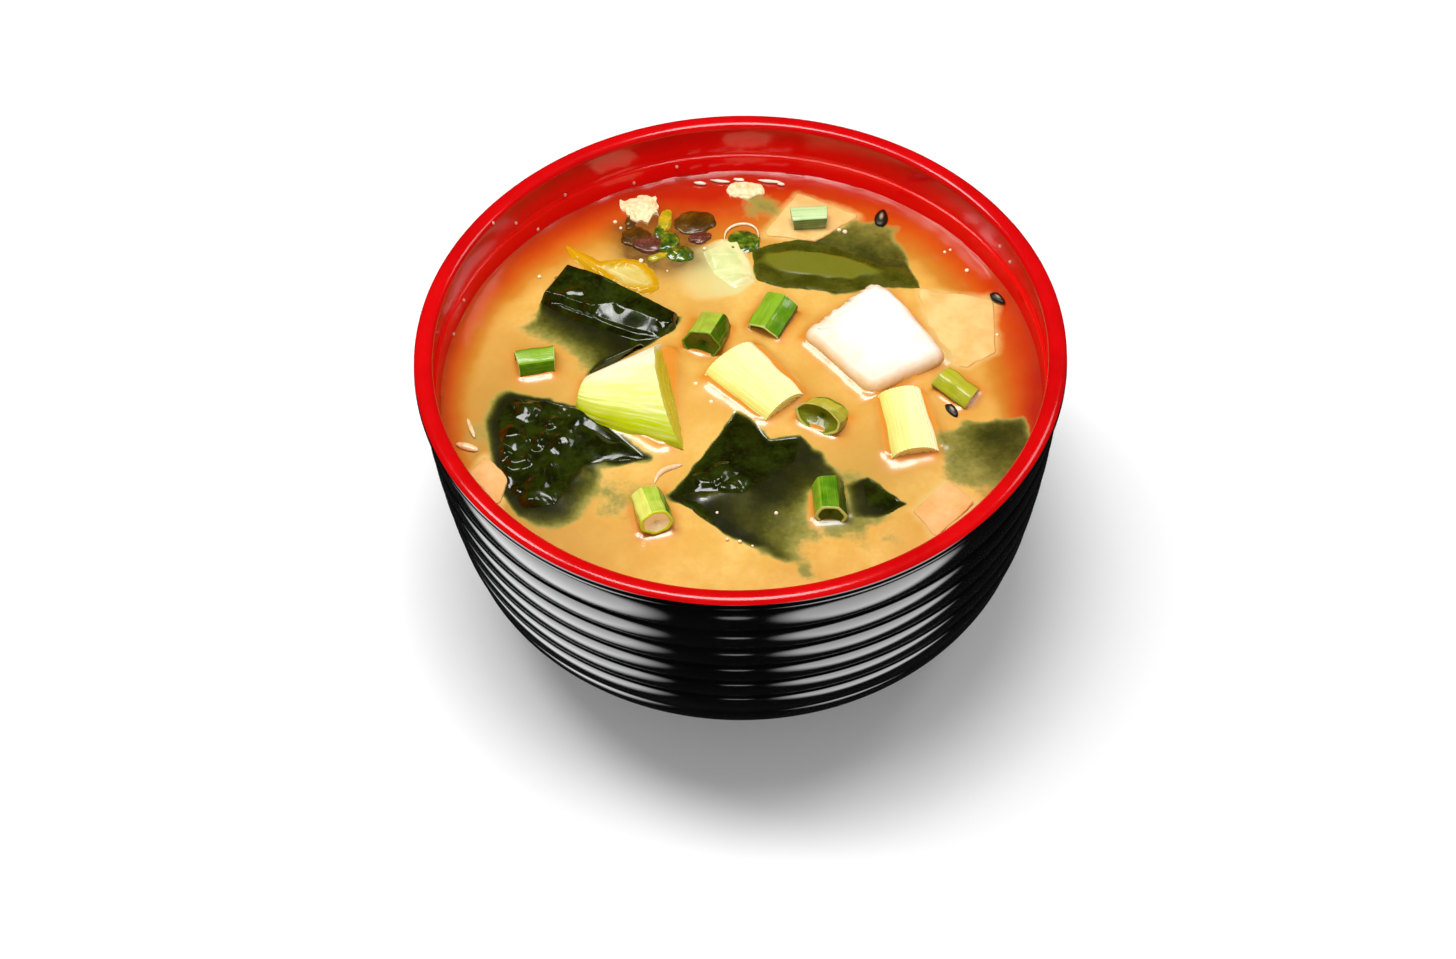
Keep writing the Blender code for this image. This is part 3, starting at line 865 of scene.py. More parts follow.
def folded_strip(x, y):
    """The back leaf: a strip folded double, level on top, then sloping down to its crinkled near edge. The
    slope starts at a share of the way across that is smaller at the right."""
    far = from_line(x, y, plan("wakame_back", FOLD_LINES["back_far_edge"]))
    near = from_line(x, y, plan("wakame_back", FOLD_LINES["back_near_edge"]))
    across = far / (far + near + 1e-6)
    left_end, right_end = plan("wakame_back", [(0.35, 0.5), (0.55, 0.5)])[:, 0]
    slope_starts = SLOPE_STARTS - SLOPE_STARTS_EARLIER * eased(x, left_end, right_end)
    slope = SLOPE_DROP * np.clip((across - slope_starts) / (1.0 - slope_starts), 0.0, 1.0)
    folded = STRIP_HEIGHT - STRIP_LEANS * across - slope + STRIP_BULGE * bulges(x, y, 9.0, 81)
    return folded + blistered(x, y, "wakame_back")


print("reliefs of two folded leaves")

# %% Relief of the flatter leaves
KNOT_HEIGHT, KNOT_WIDTH, KNOT_FLATTENED = 0.3, 4.6, 1.2
FAR_LAP = [(0.37, 0.43), (0.80, 0.25)]
FAR_LAP_HALF_WIDTH, FAR_LAP_HEIGHT = 3.6, 0.20
ONION_RIM_HEIGHT, ONION_RIM_INSET, ONION_RIM_WIDTH = 0.45, 1.4, 0.9


def half_sunk(x, y):
    """The middle leaf: wet and level, with one knot near its left corner that its blisters crinkle."""
    middle = plan("wakame_middle", [(0.30, 0.57)])[0]
    knot = bell(np.hypot(x - middle[0], (y - middle[1]) * KNOT_FLATTENED), KNOT_WIDTH)
    return 0.08 + KNOT_HEIGHT * knot + blistered(x, y, "wakame_middle") + 0.03 * swell(x, y, 9.0, 96)


def level_leaf(x, y):
    """A leaf that lies on the surface with faint waves."""
    return 0.10 + 0.03 * swell(x, y, 7.0, 101)


def lapped_leaf(x, y):
    """The far leaf: level, with a second layer lapped over it, an oval from its middle to its tip and as
    far to the other side: 1 - sqrt((u / a)^2 + (v / b)^2) is 0 on its edge, which is a small step."""
    middle, tip = plan("wakame_far", FAR_LAP)
    ahead = (tip - middle) / np.linalg.norm(tip - middle)
    u = ((x - middle[0]) * ahead[0] + (y - middle[1]) * ahead[1]) / np.linalg.norm(tip - middle)
    v = ((y - middle[1]) * ahead[0] - (x - middle[0]) * ahead[1]) / FAR_LAP_HALF_WIDTH
    lap = 1.0 - np.hypot(u, v) + 0.05 * swell(x, y, 4.0, 105)
    return 0.12 + FAR_LAP_HEIGHT * eased(lap, 0.0, 0.3) + 0.03 * swell(x, y, 9.0, 104)


def curved_leaf(x, y):
    """A soft pale leaf with a broad fold."""
    return 0.15 + 0.45 * bulges(x, y, 9.0, 161) ** 1.5


def rimmed_skin(x, y):
    """The onion: a skin whose rim stands up a little round a hollow that the broth fills."""
    rim = inside(x, y, plan("onion_slice", WHOLE_LEAVES["onion_slice"]))
    stands_up = ONION_RIM_HEIGHT * bell(rim - ONION_RIM_INSET, ONION_RIM_WIDTH)
    return 0.10 + stands_up + 0.15 * bulges(x, y, 5.0, 171)


HOW_IT_LIES = {
    "wakame_left": (crumpled, 0.17),
    "wakame_back": (folded_strip, 0.10),
    "wakame_middle": (half_sunk, 0.060),
    "wakame_tip": (level_leaf, 0.14),
    "wakame_far": (lapped_leaf, 0.02),
    "cabbage_leaf": (curved_leaf, 0.11),
    "onion_slice": (rimmed_skin, 0.10),
}
print("reliefs of", len(HOW_IT_LIES), "leaves, each with its slope under the broth")

# %% [markdown]
# ## Where the leaves sink
# Past its dry part each leaf slopes down. A few do more: two sink further at their left ends, the far one
# drops by a step, the back one shows a second, curled edge just over the surface, and the middle one comes
# up again along its near edge. Each of these is one term in millimetres.

# %% Leaf heights
DIPS_UNDER_EDGE = 0.07
LEFT_ENDS_SINK = {"wakame_back": (0.35, -0.05, 0.22), "wakame_left": (0.16, -0.06, 0.5)}
CURL_HEIGHT, CURL_WIDTH = 1.9, 0.9
CURL_FOOT_HEIGHT, CURL_FOOT_WIDTH = 0.45, 4.5
FAR_LEAF_STEP, FAR_LEAF_STEP_WIDTH = 0.54, 2.2
NEAR_EDGE = plan("wakame_middle", WHOLE_LEAVES["wakame_middle"][9:14])
NEAR_EDGE_LIFT, NEAR_EDGE_WIDTH = 0.55, 2.8


def leaf_over(name, x, y):
    """A leaf's height over the broth: its relief inside its dry part, rounded off at that part's edge, and
    a slope under the surface that grows with the distance from it, with the terms of its own."""
    relief, slope = HOW_IT_LIES[name]
    within = inside(x, y, plan(name, DRY_PARTS[name]))
    rise = eased(within, -0.7, 0.9)
    over = relief(x, y) * rise - DIPS_UNDER_EDGE * (1.0 - rise) - slope * np.maximum(0.0, -within)
    if name in LEFT_ENDS_SINK:
        dry_end, sunk_end, more = LEFT_ENDS_SINK[name]
        dry_end, sunk_end = plan(name, [(dry_end, 0.0), (sunk_end, 0.0)])[:, 0]
        over -= more * eased(-x, -dry_end, -sunk_end) * eased(-within, 0.0, 3.0)
    if name == "wakame_back":
        curl = from_line(x, y, plan(name, FOLD_LINES["back_curled_edge"]))
        over += CURL_HEIGHT * bell(curl, CURL_WIDTH)
        over += CURL_FOOT_HEIGHT * bell(curl, CURL_FOOT_WIDTH) * (1.0 - rise)
    if name == "wakame_far":
        over -= FAR_LEAF_STEP * eased(-within, 0.0, FAR_LEAF_STEP_WIDTH)
    if name == "wakame_middle":
        over += NEAR_EDGE_LIFT * bell(from_line(x, y, NEAR_EDGE), NEAR_EDGE_WIDTH) * (1.0 - rise)
    return over


print("heights ready")

# %% [markdown]
# ## The broth
# Miso broth is a cloud of fine soy paste in clear stock: matt and milky inside, wet on top. It is pale
# orange where it is deep and lit, and turns to red-brown beside the wall, partly where the red lacquer
# shows through less and less of it and partly painted shade of the wall and painted reflection of the red
# wall. It climbs the wall and every floating piece in a small curve, the meniscus, and that curve catches
# the light as a white line. So the surface is a fine grid over a disc, whose height adds those curves, and
# each vertex keeps how near it is to the wall, to the pieces and to what is sunk just under the surface.

# %% Where the broth climbs
CELLS = 280
WALL_MENISCUS, WALL_CLIMB = 0.35, 0.9
BLOCK_MENISCUS, BLOCK_CLIMB = 1.25, 1.8
CUT_MENISCUS, CUT_CLIMB = 0.62, 1.05
LEAF_MENISCUS, LEAF_CLIMB = 0.52, 1.7
BLOCK_ROUNDING, CUT_ROUNDING = 2.2, 1.4
COVERED_DEPTH = 0.5
LEVEL_ON_WALL = 0.13
BROTH_EDGE = LEDGE_RADIUS - (LEDGE_RADIUS - WALL_FOOT_RADIUS) * LEVEL_ON_WALL
BLOCKS = [plan("tofu_large", TOFU_CORNERS["tofu_large"])] + [leek_outline(name) for name in LEEK_ENDS]
CUTS = [scallion_outline(name) for name in SCALLION_HEADINGS if name != "scallion_on_tofu"]
WET_EDGES = [
    plan("wakame_left", DRY_PARTS["wakame_left"][5:8]),
    plan("wakame_back", DRY_PARTS["wakame_back"][3:5]),
    plan("wakame_middle", DRY_PARTS["wakame_middle"][6:8]),
]
EDGE_WANDERS = 0.9
print(f"broth {2.0 * BROTH_EDGE:.1f} mm across, climbing {len(BLOCKS)} blocks and {len(CUTS)} cuts")


# %% Broth surface
def disc(cells, radius):
    """Points of a square grid pressed into a disc: x = r u sqrt(1 - v v / 2), y = r v sqrt(1 - u u / 2)."""
    line = np.linspace(-1.0, 1.0, cells + 1)
    u, v = np.meshgrid(line, line, indexing="ij")
    return radius * u * np.sqrt(1.0 - v * v / 2.0), radius * v * np.sqrt(1.0 - u * u / 2.0)


def outside_of(x, y, outlines, rounding=0.0):
    """Distance in mm to the nearest of several outlines, 0 inside one. Each outline's corners are first
    drawn in by the rounding, which is then taken off the distance, so that the corners come out round."""
    nearest = np.full(x.shape, FAR_AWAY)
    for outline in outlines:
        corners = np.array(outline)
        inward = corners.mean(axis=0) - corners
        corners = corners + 1.41 * rounding * inward / np.linalg.norm(inward, axis=1)[:, None]
        nearest = np.minimum(nearest, np.maximum(0.0, -inside(x, y, corners) - rounding))
    return nearest


def climb(distance, most, reach):
    """The most at no distance, falling off as e to the minus distance over reach, as a meniscus does."""
    return most * np.exp(-distance / reach)


def broth_height(x, y):
    """Height over the level, in two parts: the slow swells, and the menisci on the wall and on the pieces,
    which give way to a hollow where a leaf covers the broth."""
    from_wall = np.maximum(0.0, BROTH_EDGE - np.hypot(x, y))
    menisci = climb(from_wall, WALL_MENISCUS, WALL_CLIMB)
    menisci += climb(outside_of(x, y, BLOCKS, BLOCK_ROUNDING), BLOCK_MENISCUS, BLOCK_CLIMB)
    menisci += climb(outside_of(x, y, CUTS, CUT_ROUNDING), CUT_MENISCUS, CUT_CLIMB)
    wavy = (x + EDGE_WANDERS * swell(x, y, 7.0, 5), y + EDGE_WANDERS * swell(x, y, 7.0, 6))
    beside_leaf = np.minimum.reduce([from_line(*wavy, edge) for edge in WET_EDGES])
    menisci += climb(beside_leaf, LEAF_MENISCUS, LEAF_CLIMB)
    covered = np.zeros_like(x)
    for name, outline in DRY_PARTS.items():
        covered = np.maximum(covered, eased(inside(x, y, plan(name, outline)), 0.1, 1.1))
    return slow_swell(x, y), menisci * (1.0 - covered) - COVERED_DEPTH * covered


x, y = disc(CELLS, BROTH_EDGE + 0.1)
slow, menisci = broth_height(x, y)
height = slow + menisci
top = np.stack([x, y, LEVEL + height], axis=-1)
print(f"broth surface: {x.size} points {2 * BROTH_EDGE / CELLS:.2f} mm apart")
print(f"it stands up to {height.max():.2f} mm over its level")


# %% Broth body
WALL_GAP = 0.3
PROFILE_STRIDE = 3


def broth_body(top, material):
    """The grid as the top, then rings under its edge that follow the inside of the bowl down to its floor,
    a gap away from it, and a fan that closes the last ring."""
    numbers = np.arange(top.shape[0] ** 2).reshape(top.shape[:2])
    quads = np.stack([numbers[:-1, :-1], numbers[1:, :-1], numbers[1:, 1:], numbers[:-1, 1:]], axis=-1)
    edge = np.concatenate([numbers[:-1, 0], numbers[-1, :-1], numbers[:0:-1, -1], numbers[0, :0:-1]])
    points = [top.reshape(-1, 3)]
    rim = points[0][edge]
    turn = np.arctan2(rim[:, 1], rim[:, 0])
    below = [(r - WALL_GAP, z + WALL_GAP) for r, z in red_half[::-1] if z < LEVEL - 1.0]
    inner = below[::PROFILE_STRIDE]
    faces, above, count = [quads.reshape(-1, 4)], edge, len(points[0])
    for radius, z in inner:
        points.append(np.stack([radius * np.cos(turn), radius * np.sin(turn), np.full(len(turn), z)], axis=1))
        ring = count + np.arange(len(turn))
        faces.append(strip(above, ring))
        above, count = ring, count + len(turn)
    points.append(np.array([[0.0, 0.0, inner[-1][1]]]))
    faces.append(fan(above, count))
    return put_in_scene("broth_liquid", np.concatenate(points), faces, material)


print("broth body ready")

# %% [markdown]
# ## What the broth looks like
# Its colour is mixed from the kept numbers: a pale cloud in the middle, orange and then red-brown towards
# the wall at the back and the sides, partly painted shade and reflection of the wall, a painted orange
# shadow beside each piece, painted shade that greys it at the left and the front right, and green where a
# leaf hangs just under the surface. Noise breaks each edge up, as the paste drifts in clouds.


# %% Broth finish
TOWARDS_WALL = [
    (0.0, "#DCA54C"), (0.2, "#CA8A2C"), (0.4, "#C7701A"), (0.6, "#C8560E"), (0.8, "#BC3E06"),
    (1.0, "#B22203"),
]
OVER_PALE_FOOD = [(0.0, "#E0AE58"), (0.5, "#E0BA6C"), (1.0, "#DACE88")]
OVER_WAKAME = [
    (0.0, "#CFA85A"), (0.2, "#B5A052"), (0.38, "#8F883C"), (0.52, "#666320"), (0.68, "#42420C"),
    (0.85, "#2B2C03"), (1.0, "#1D1D00"),
]


def miso_broth():
    """Cloudy soy broth: the colour from the kept numbers, and gloss from a smooth water-like surface."""
    wet = {"Coat_Weight": 1.0, "Coat_IOR": 1.6, "Coat_Roughness": 0.24}
    made, tree, shader = finish("cloudy_miso_broth", 0.10, ior=1.34, **wet)
    cloud = spots(tree, 7.0, detail=5.0, rough=0.6)
    grain = spots(tree, 0.9, detail=3.0)
    pale = mixed(tree, between(tree, cloud, 0.38, 0.66), "#E0AE50", "#EDC36A")
    pale = mixed(tree, between(tree, grain, 0.45, 0.7, 0.0, 0.25), pale, "#E39A3C")
    pale = mixed(tree, between(tree, spots(tree, 22.0), 0.42, 0.60, 0.0, 0.6), pale, "#D39C44")
    # Painted shade: the olive mark greys the broth at the left and at the front right.
    side = mixed(tree, attribute(tree, "olive"), pale, "#BE8E3C")
    # Red-brown towards the wall: lacquer through thin broth, with painted shade and painted reflection of the
    # wall.
    redness = clouded(tree, attribute(tree, "red"), cloud, 0.06, clamp=True)
    base = mixed(tree, between(tree, redness, 0.05, 0.25), side, ramp(tree, redness, TOWARDS_WALL))
    # Painted shadow: orange broth beside the tofu, leek and scallion.
    base = mixed(tree, attribute(tree, "shade"), base, "#D6801A")
    leafy = clouded(tree, attribute(tree, "pale_leaf"), cloud, 0.15, clamp=True)
    base = mixed(tree, between(tree, leafy, 0.18, 0.6), base, ramp(tree, leafy, OVER_PALE_FOOD))
    weed = clouded(tree, attribute(tree, "weed"), cloud, 0.12, clamp=True)
    weed = clouded(tree, weed, grain, 0.03, clamp=True)
    torn = between(tree, cloud, 0.35, 0.65, 0.6, 1.1)
    base = mixed(tree, sums(tree, "MULTIPLY", attribute(tree, "murk"), torn, clamp=True), base, "#5E3A12")
    base = mixed(tree, between(tree, weed, 0.18, 0.34), base, ramp(tree, weed, OVER_WAKAME))
    film = spots(tree, 4.0, detail=2.0)
    coloured(tree, shader, base, film, 0.06, 0.14, noise_low=0.35)
    bumped(tree, shader, film, 0.012)
    return made


cloudy_broth = miso_broth()
print("broth finish ready")

# %% [markdown]
# ## What shows through the broth
# The paste hides what lies deeper than a millimetre or two. A leaf that slopes down fades on its way, a
# sunk sheet is only a dark cloud, and round the wall the red lacquer shows through, mixed with painted
# shade of the wall and a painted reflection of the red wall. Each of these is a number between 0 and 1 at
# every vertex of the surface, worked out from distances and depths in mm.

# %% Red beside the wall
# Red beside the wall: partly the lacquer through thin broth, partly painted shade of the wall and a painted
# reflection of the red wall, so it is strongest at the back and none at the front.
RED_HEADINGS = (-90.0, -50.0, -30.0, -8.0, 10.0, 45.0, 72.0, 95.0, 125.0, 158.0, 185.0, 215.0, 240.0, 270.0)
RED_REACHES = (3.0, 3.0, 4.0, 6.0, 9.0, 9.0, 13.0, 16.0, 9.0, 5.0, 4.2, 3.5, 3.0, 3.0)
RED_STRENGTHS = (0.0, 0.0, 0.75, 1.1, 0.9, 0.85, 1.05, 1.25, 0.95, 0.8, 0.75, 0.35, 0.0, 0.0)


def redness_at(x, y):
    """Strength times e to the minus power of distance from the wall over reach, where both the strength
    and the reach change with the heading round the bowl in degrees."""
    heading = (np.degrees(np.arctan2(y, x)) + 90.0) % 360.0 - 90.0
    reach, strength = (np.interp(heading, RED_HEADINGS, values) for values in (RED_REACHES, RED_STRENGTHS))
    return np.clip(strength * bell(np.maximum(0.0, BROTH_EDGE - np.hypot(x, y)), reach, 1.6), 0.0, 1.0)


red = redness_at(x, y)
print(f"red over half on {np.mean(red > 0.5):.1%} of the surface")

# %% Shade, olive and murk
# Painted shadow beside the pieces: its strength, and how fast it fades in mm.
SHADE, SHADE_REACH = 0.85, 1.3
# Painted shade, greyer broth: where it grows and fades, and the oval at the front right.
OLIVE_LEFT, OLIVE_BACK = (16.0, 50.0), (-10.0, 34.0)
OLIVE_OVAL, OLIVE_OVAL_FLATTENED = (26.0, -21.0), 1.4
OLIVE_OVAL_STRENGTH, OLIVE_OVAL_WIDTH = 0.8, 12.0
CLUSTER = [
    (-0.38, 0.62), (-0.40, 0.74), (-0.30, 0.80), (-0.16, 0.72), (-0.14, 0.58), (-0.24, 0.54), (-0.33, 0.56),
]
MURK, MURK_WIDTH = 0.85, 2.8


def olive_at(x, y):
    """Painted shade that greys the broth: it grows to the left and fades to the back, and there is an oval of
    it at the front.
    """
    left = eased(-x, *OLIVE_LEFT) * (1.0 - eased(y, *OLIVE_BACK))
    from_oval = np.hypot(x - OLIVE_OVAL[0], (y - OLIVE_OVAL[1]) * OLIVE_OVAL_FLATTENED)
    return np.maximum(left, OLIVE_OVAL_STRENGTH * bell(from_oval, OLIVE_OVAL_WIDTH))


shade = climb(outside_of(x, y, BLOCKS + CUTS), SHADE, SHADE_REACH)
olive = olive_at(x, y)
murk = MURK * bell(outside_of(x, y, [np.array(CLUSTER) * BROTH_EDGE]), MURK_WIDTH, 1.5)
print("shade beside the pieces, olive at the left, murk round the scraps")

# %% Sunk leaves
CLARITY = 0.95
SUNK_SHEET = [
    (0.61, -0.24), (0.72, -0.19), (0.93, -0.17), (0.95, -0.29), (0.90, -0.42), (0.80, -0.54), (0.70, -0.48),
    (0.63, -0.38),
]
SHEET_HIGHEST, SHEET_DEPTH, SHEET_SLOPE = (50.0, -14.0), 0.48, 0.04
FAR_LEAF_SHOWS = 0.66
DRIFTING = (
    ("wakame_middle", (1.22, 0.30), 0.42, 8.5), ("wakame_left", (0.92, 0.12), 0.31, 7.0),
    ("wakame_left", (-0.08, 0.70), 0.30, 5.0), ("wakame_tip", (-0.1, 0.9), 0.30, 6.0),
    ("tofu_back", (0.02, 0.80), 0.40, 4.5),
)
LOW_TOFU = [name for name in TOFU_CORNERS if name != "tofu_large"]
TOFU_GLOW, TOFU_GLOW_WIDTH = 0.55, 1.6


def tint(depth, outline):
    """How strongly a sunk sheet shows: e to the minus square of depth over clarity, inside its outline,
    whose edge is softer and more torn the deeper it is."""
    blur = 0.3 + 2.2 * depth
    torn = (0.15 + 0.45 * depth) * swell(x, y, 6.0, seed=12)
    torn += (0.06 + 0.1 * depth) * swell(x, y, 2.6, seed=13)
    return bell(depth, CLARITY) * eased(inside(x, y, outline) + torn, -blur, blur)


def sunk_leaf(name):
    """How strongly a leaf's sunk part shows, from its depth under the surface."""
    depth = np.maximum(0.0, menisci - leaf_over(name, x, y))
    return tint(depth, plan(name, WHOLE_LEAVES[name]))


def haze(name, place, strongest, wide):
    """Torn bits of leaf that drift round a place on a piece: a bell with a wavy edge."""
    middle = plan(name, [place])[0]
    wavy = np.hypot(x - middle[0], y - middle[1]) / wide + 0.15 * swell(x, y, 5.0, seed=14)
    return strongest * bell(wavy, 1.0)


sheet_depth = SHEET_DEPTH + SHEET_SLOPE * np.hypot(x - SHEET_HIGHEST[0], y - SHEET_HIGHEST[1])
weed = tint(sheet_depth, np.array(SUNK_SHEET) * BROTH_EDGE)
for name in ("wakame_left", "wakame_back", "wakame_middle", "wakame_tip"):
    weed = np.maximum(weed, sunk_leaf(name))
weed = np.maximum(weed, np.minimum(FAR_LEAF_SHOWS, sunk_leaf("wakame_far")))
for name, place, strongest, wide in DRIFTING:
    weed = np.maximum(weed, haze(name, place, strongest, wide))
low_corners = [plan(name, TOFU_CORNERS[name]) for name in LOW_TOFU]
tofu_glow = TOFU_GLOW * bell(outside_of(x, y, low_corners, 0.5), TOFU_GLOW_WIDTH, 1.5)
pale_leaf = np.maximum(sunk_leaf("cabbage_leaf"), tofu_glow)
print(f"leaves and sheets darken {np.mean(weed > 0.5):.1%} of the surface")

# %% Broth piece
broth = broth_body(top, cloudy_broth)
under = len(broth.data.vertices) - x.size
kept = {"red": red, "shade": shade, "olive": olive, "weed": weed, "pale_leaf": pale_leaf, "murk": murk}
for name, values in kept.items():
    below_surface = np.full(under, 1.0 if name == "red" else 0.0)
    mark(broth, name, np.concatenate([values.ravel(), below_surface]))
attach(broth, "root")
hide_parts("broth")
print(f"broth: {len(broth.data.polygons)} faces")

# %% [markdown]
# ## Tofu
# Silken tofu is set bean curd cut with a knife: soft white, a little clear, with edges that wear round in
# the hot broth and faint pits where bubbles sat. One block stands out of the broth and four lie just at its
# surface. A cube with a Bevel would do for the form, but rings of a rounded outline, worked out in one
# array, also let the faces swell, tilt and pit. Each vertex keeps its height over the broth, because low on
# the sides the colour turns orange: partly broth soaked in and partly painted light bounced up from it.


# %% A block's outline and rings
def rounded_outline(corners, radius, per_corner=12, per_side=18):
    """Inner points and outward directions round a straight-sided outline: each corner is an arc of this
    radius, each side a straight run between two arcs. A point is then inner + direction * radius."""
    corners = np.array(corners)
    sides = np.roll(corners, -1, axis=0) - corners
    if np.sum(corners[:, 0] * np.roll(corners[:, 1], -1) - np.roll(corners[:, 0], -1) * corners[:, 1]) < 0.0:
        return rounded_outline(corners[::-1], radius, per_corner, per_side)
    normals = np.stack([sides[:, 1], -sides[:, 0]], axis=1) / np.linalg.norm(sides, axis=1)[:, None]
    before = np.roll(normals, 1, axis=0)
    inner = corners - radius * (before + normals) / (1.0 + np.sum(before * normals, axis=1))[:, None]
    points, directions = [], []
    for i in range(len(corners)):
        first = math.atan2(before[i][1], before[i][0])
        sweep = (math.atan2(normals[i][1], normals[i][0]) - first) % TAU
        turn = first + sweep * np.linspace(0.0, 1.0, per_corner)
        points.append(np.repeat(inner[i][None], per_corner, axis=0))
        directions.append(np.stack([np.cos(turn), np.sin(turn)], axis=1))
        share = np.linspace(0.0, 1.0, per_side + 2)[1:-1, None]
        points.append(inner[i] + (inner[(i + 1) % len(corners)] - inner[i]) * share)
        directions.append(np.repeat(normals[i][None], per_side, axis=0))
    return np.concatenate(points), np.concatenate(directions)


def block_rows(edge, bottom, upper):
    """(inset, height, share of the outline's size) of each ring: in from the underside's middle, round the
    lower edge as a quarter circle, up the side, round the upper edge and in to the top's middle."""
    quarter = np.linspace(0.0, math.pi / 2, 9)
    rows = [(edge, bottom, share) for share in (0.3, 0.7)]
    rows += [(edge * (1.0 - math.sin(t)), bottom + edge * (1.0 - math.cos(t)), 1.0) for t in quarter]
    rows += [(0.0, z, 1.0) for z in np.linspace(bottom + edge, upper - edge, 10)[1:-1]]
    rows += [(edge * (1.0 - math.cos(t)), upper - edge * (1.0 - math.sin(t)), 1.0) for t in quarter]
    return rows + [(edge, upper, share) for share in np.linspace(1.0, 0.02, 26)[1:]]


# %% Tofu blocks
SIDE_SWELL, SIDE_ROUGHNESS, TEAR_DEPTH = 0.16, 0.05, 0.30
TOP_SWELL, TOP_ROUGHNESS = 0.06, 0.03


def tofu_block(name, material, corner_radius, edge, dome, lift, seed, tilt=(0.0, 0.0), torn_side=None):
    """The block's rings on its solid's corners. Over the broth slow noise pushes the sides about, one side
    may be torn, and the top is lifted as a shallow dome, tilted and pitted."""
    corners = plan(name, TOFU_CORNERS[name])
    bottom, upper = (corner.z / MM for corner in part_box(name))
    inner, directions = rounded_outline(corners, corner_radius)
    middle = corners.mean(axis=0)
    rows = block_rows(edge, bottom, upper)
    rings = np.empty((len(rows), len(inner), 3))
    for ring, (inset, z, share) in zip(rings, rows):
        outline = inner + directions * (corner_radius - inset)
        ring[:, :2] = middle + (outline - middle) * share
        ring[:, 2] = z
    x, y, z = rings[:, :, 0], rings[:, :, 1], rings[:, :, 2]
    push = SIDE_SWELL * swell(x + z, y - z, 7.0, seed)
    push = push + SIDE_ROUGHNESS * swell(x - z, y + z, 2.0, seed + 1)
    if torn_side is not None:
        facing = directions @ (math.cos(math.radians(torn_side)), math.sin(math.radians(torn_side)))
        push = push + TEAR_DEPTH * eased(facing, 0.7, 0.95)[None, :] * swell(x, y, 1.8, seed + 4)
    shown = eased(z, LEVEL - 2.0, LEVEL)
    flat = np.array([row[2] for row in rows])[:, None]
    out = np.broadcast_to(directions, rings[:, :, :2].shape) * (push * shown * flat)[:, :, None]
    pitted = TOP_SWELL * swell(x, y, 6.0, seed + 2) + TOP_ROUGHNESS * swell(x, y, 1.6, seed + 3)
    tilted = tilt[0] * (x - middle[0]) + tilt[1] * (y - middle[1])
    rise = (lift + dome * (1.0 - flat**2) + pitted + tilted) * shown
    rings[:, :, :2] += out
    rings[:, :, 2] += rise
    made = ringed(name + "_curd", rings, material)
    over = np.append(rings[:, :, 2].ravel(), [bottom, upper]) - LEVEL
    mark(made, "over", over)
    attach(made, "root")
    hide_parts(name)
    return made


print("tofu helpers ready")


# %% Tofu finishes
def bean_curd(name, low_colour, mid_colour, top_colour, top_at, murk=0.0):
    """Silken tofu: colour from its height over the broth, orange low down from soaked broth and painted
    bounce light, with cloud, tiny pits and a wet sheen.
    """
    made, tree, shader = finish(name, 0.32, ior=1.38, Subsurface_Weight=0.15, Subsurface_Scale=2.0 * MM)
    cloud = spots(tree, 5.0, detail=3.0)
    share = between(tree, clouded(tree, attribute(tree, "over"), cloud, 0.3), 0.0, top_at)
    colour = ramp(tree, share, [(0.0, low_colour), (0.45, mid_colour), (1.0, top_colour)])
    pits = spots(tree, 0.7, detail=4.0, rough=0.65)
    colour = mixed(tree, between(tree, pits, 0.62, 0.75, 0.0, 0.25), colour, mid_colour)
    colour = mixed(tree, between(tree, spots(tree, 8.0), 0.46, 0.62, 0.0, murk), colour, low_colour)
    coloured(tree, shader, colour, cloud, 0.22, 0.42)
    bumped(tree, shader, pits, 0.05)
    return made


# Low colours: soaked broth and painted orange light bounced up from the broth.
firm_white = bean_curd("silken_tofu_cut_white", "#D99A3E", "#E4BE88", "#FBFAF2", 4.5)
drowned_cream = bean_curd("silken_tofu_under_broth", "#E2AE62", "#EBBA70", "#F1C680", 0.6, murk=0.7)
drowned_orange = bean_curd("silken_tofu_deep_in_broth", "#DAA45C", "#E6B06C", "#EEBC7C", 0.6, murk=0.5)
print("tofu finishes: three")

# %% Put the tofu in
tofu_block(
    "tofu_large", firm_white, corner_radius=2.6, edge=2.8, dome=0.7, lift=0.8, seed=21, tilt=(0.035, 0.03),
    torn_side=130.0,
)
SUNK_BLOCK = {"corner_radius": 0.8, "edge": 0.35, "dome": 0.1, "lift": 0.3}
tofu_block("tofu_right", drowned_cream, seed=31, **SUNK_BLOCK)
tofu_block("tofu_back", drowned_cream, seed=36, **SUNK_BLOCK)
tofu_block("tofu_front", drowned_orange, seed=41, **SUNK_BLOCK)
tofu_block("tofu_left", drowned_orange, seed=46, **SUNK_BLOCK)
print("tofu: five blocks")

# %% [markdown]
# ## Leek
# Leek is a roll of thin leaf layers. Cut across and split, a length of it simmers to a half-clear yellow:
# cream where it was white, yellow-green where the leaf began, with fine fibres along it and its layers
# showing at the cut ends. Each length is a loft between two half-round sections, and fine waves round it
# make the fibres. The vertices keep how far along and how far round they are, so that the material's
# streaks follow the leaf.


# %% Leek lengths
def section(half, rise, sunk, turn):
    """A half-round section: across = half cos t, up = rise sin t over the broth and sunk sin t under it."""
    up = np.where(np.sin(turn) > 0.0, rise, sunk) * np.sin(turn)
    return half * np.cos(turn), up


LEEK_STATIONS, LEEK_AROUND, LEEK_LAYERS = 56, 120, 14
SMALLEST_RING = 0.06
FIBRES, FIBRE_HEIGHT = 34, 0.05
FINE_FIBRES, FINE_FIBRE_HEIGHT = 2.37 * FIBRES, 0.04
LEEK_SWELL = 0.12
LAYER_STEPS, LAYER_STEP_HEIGHT = 4.5, 0.12


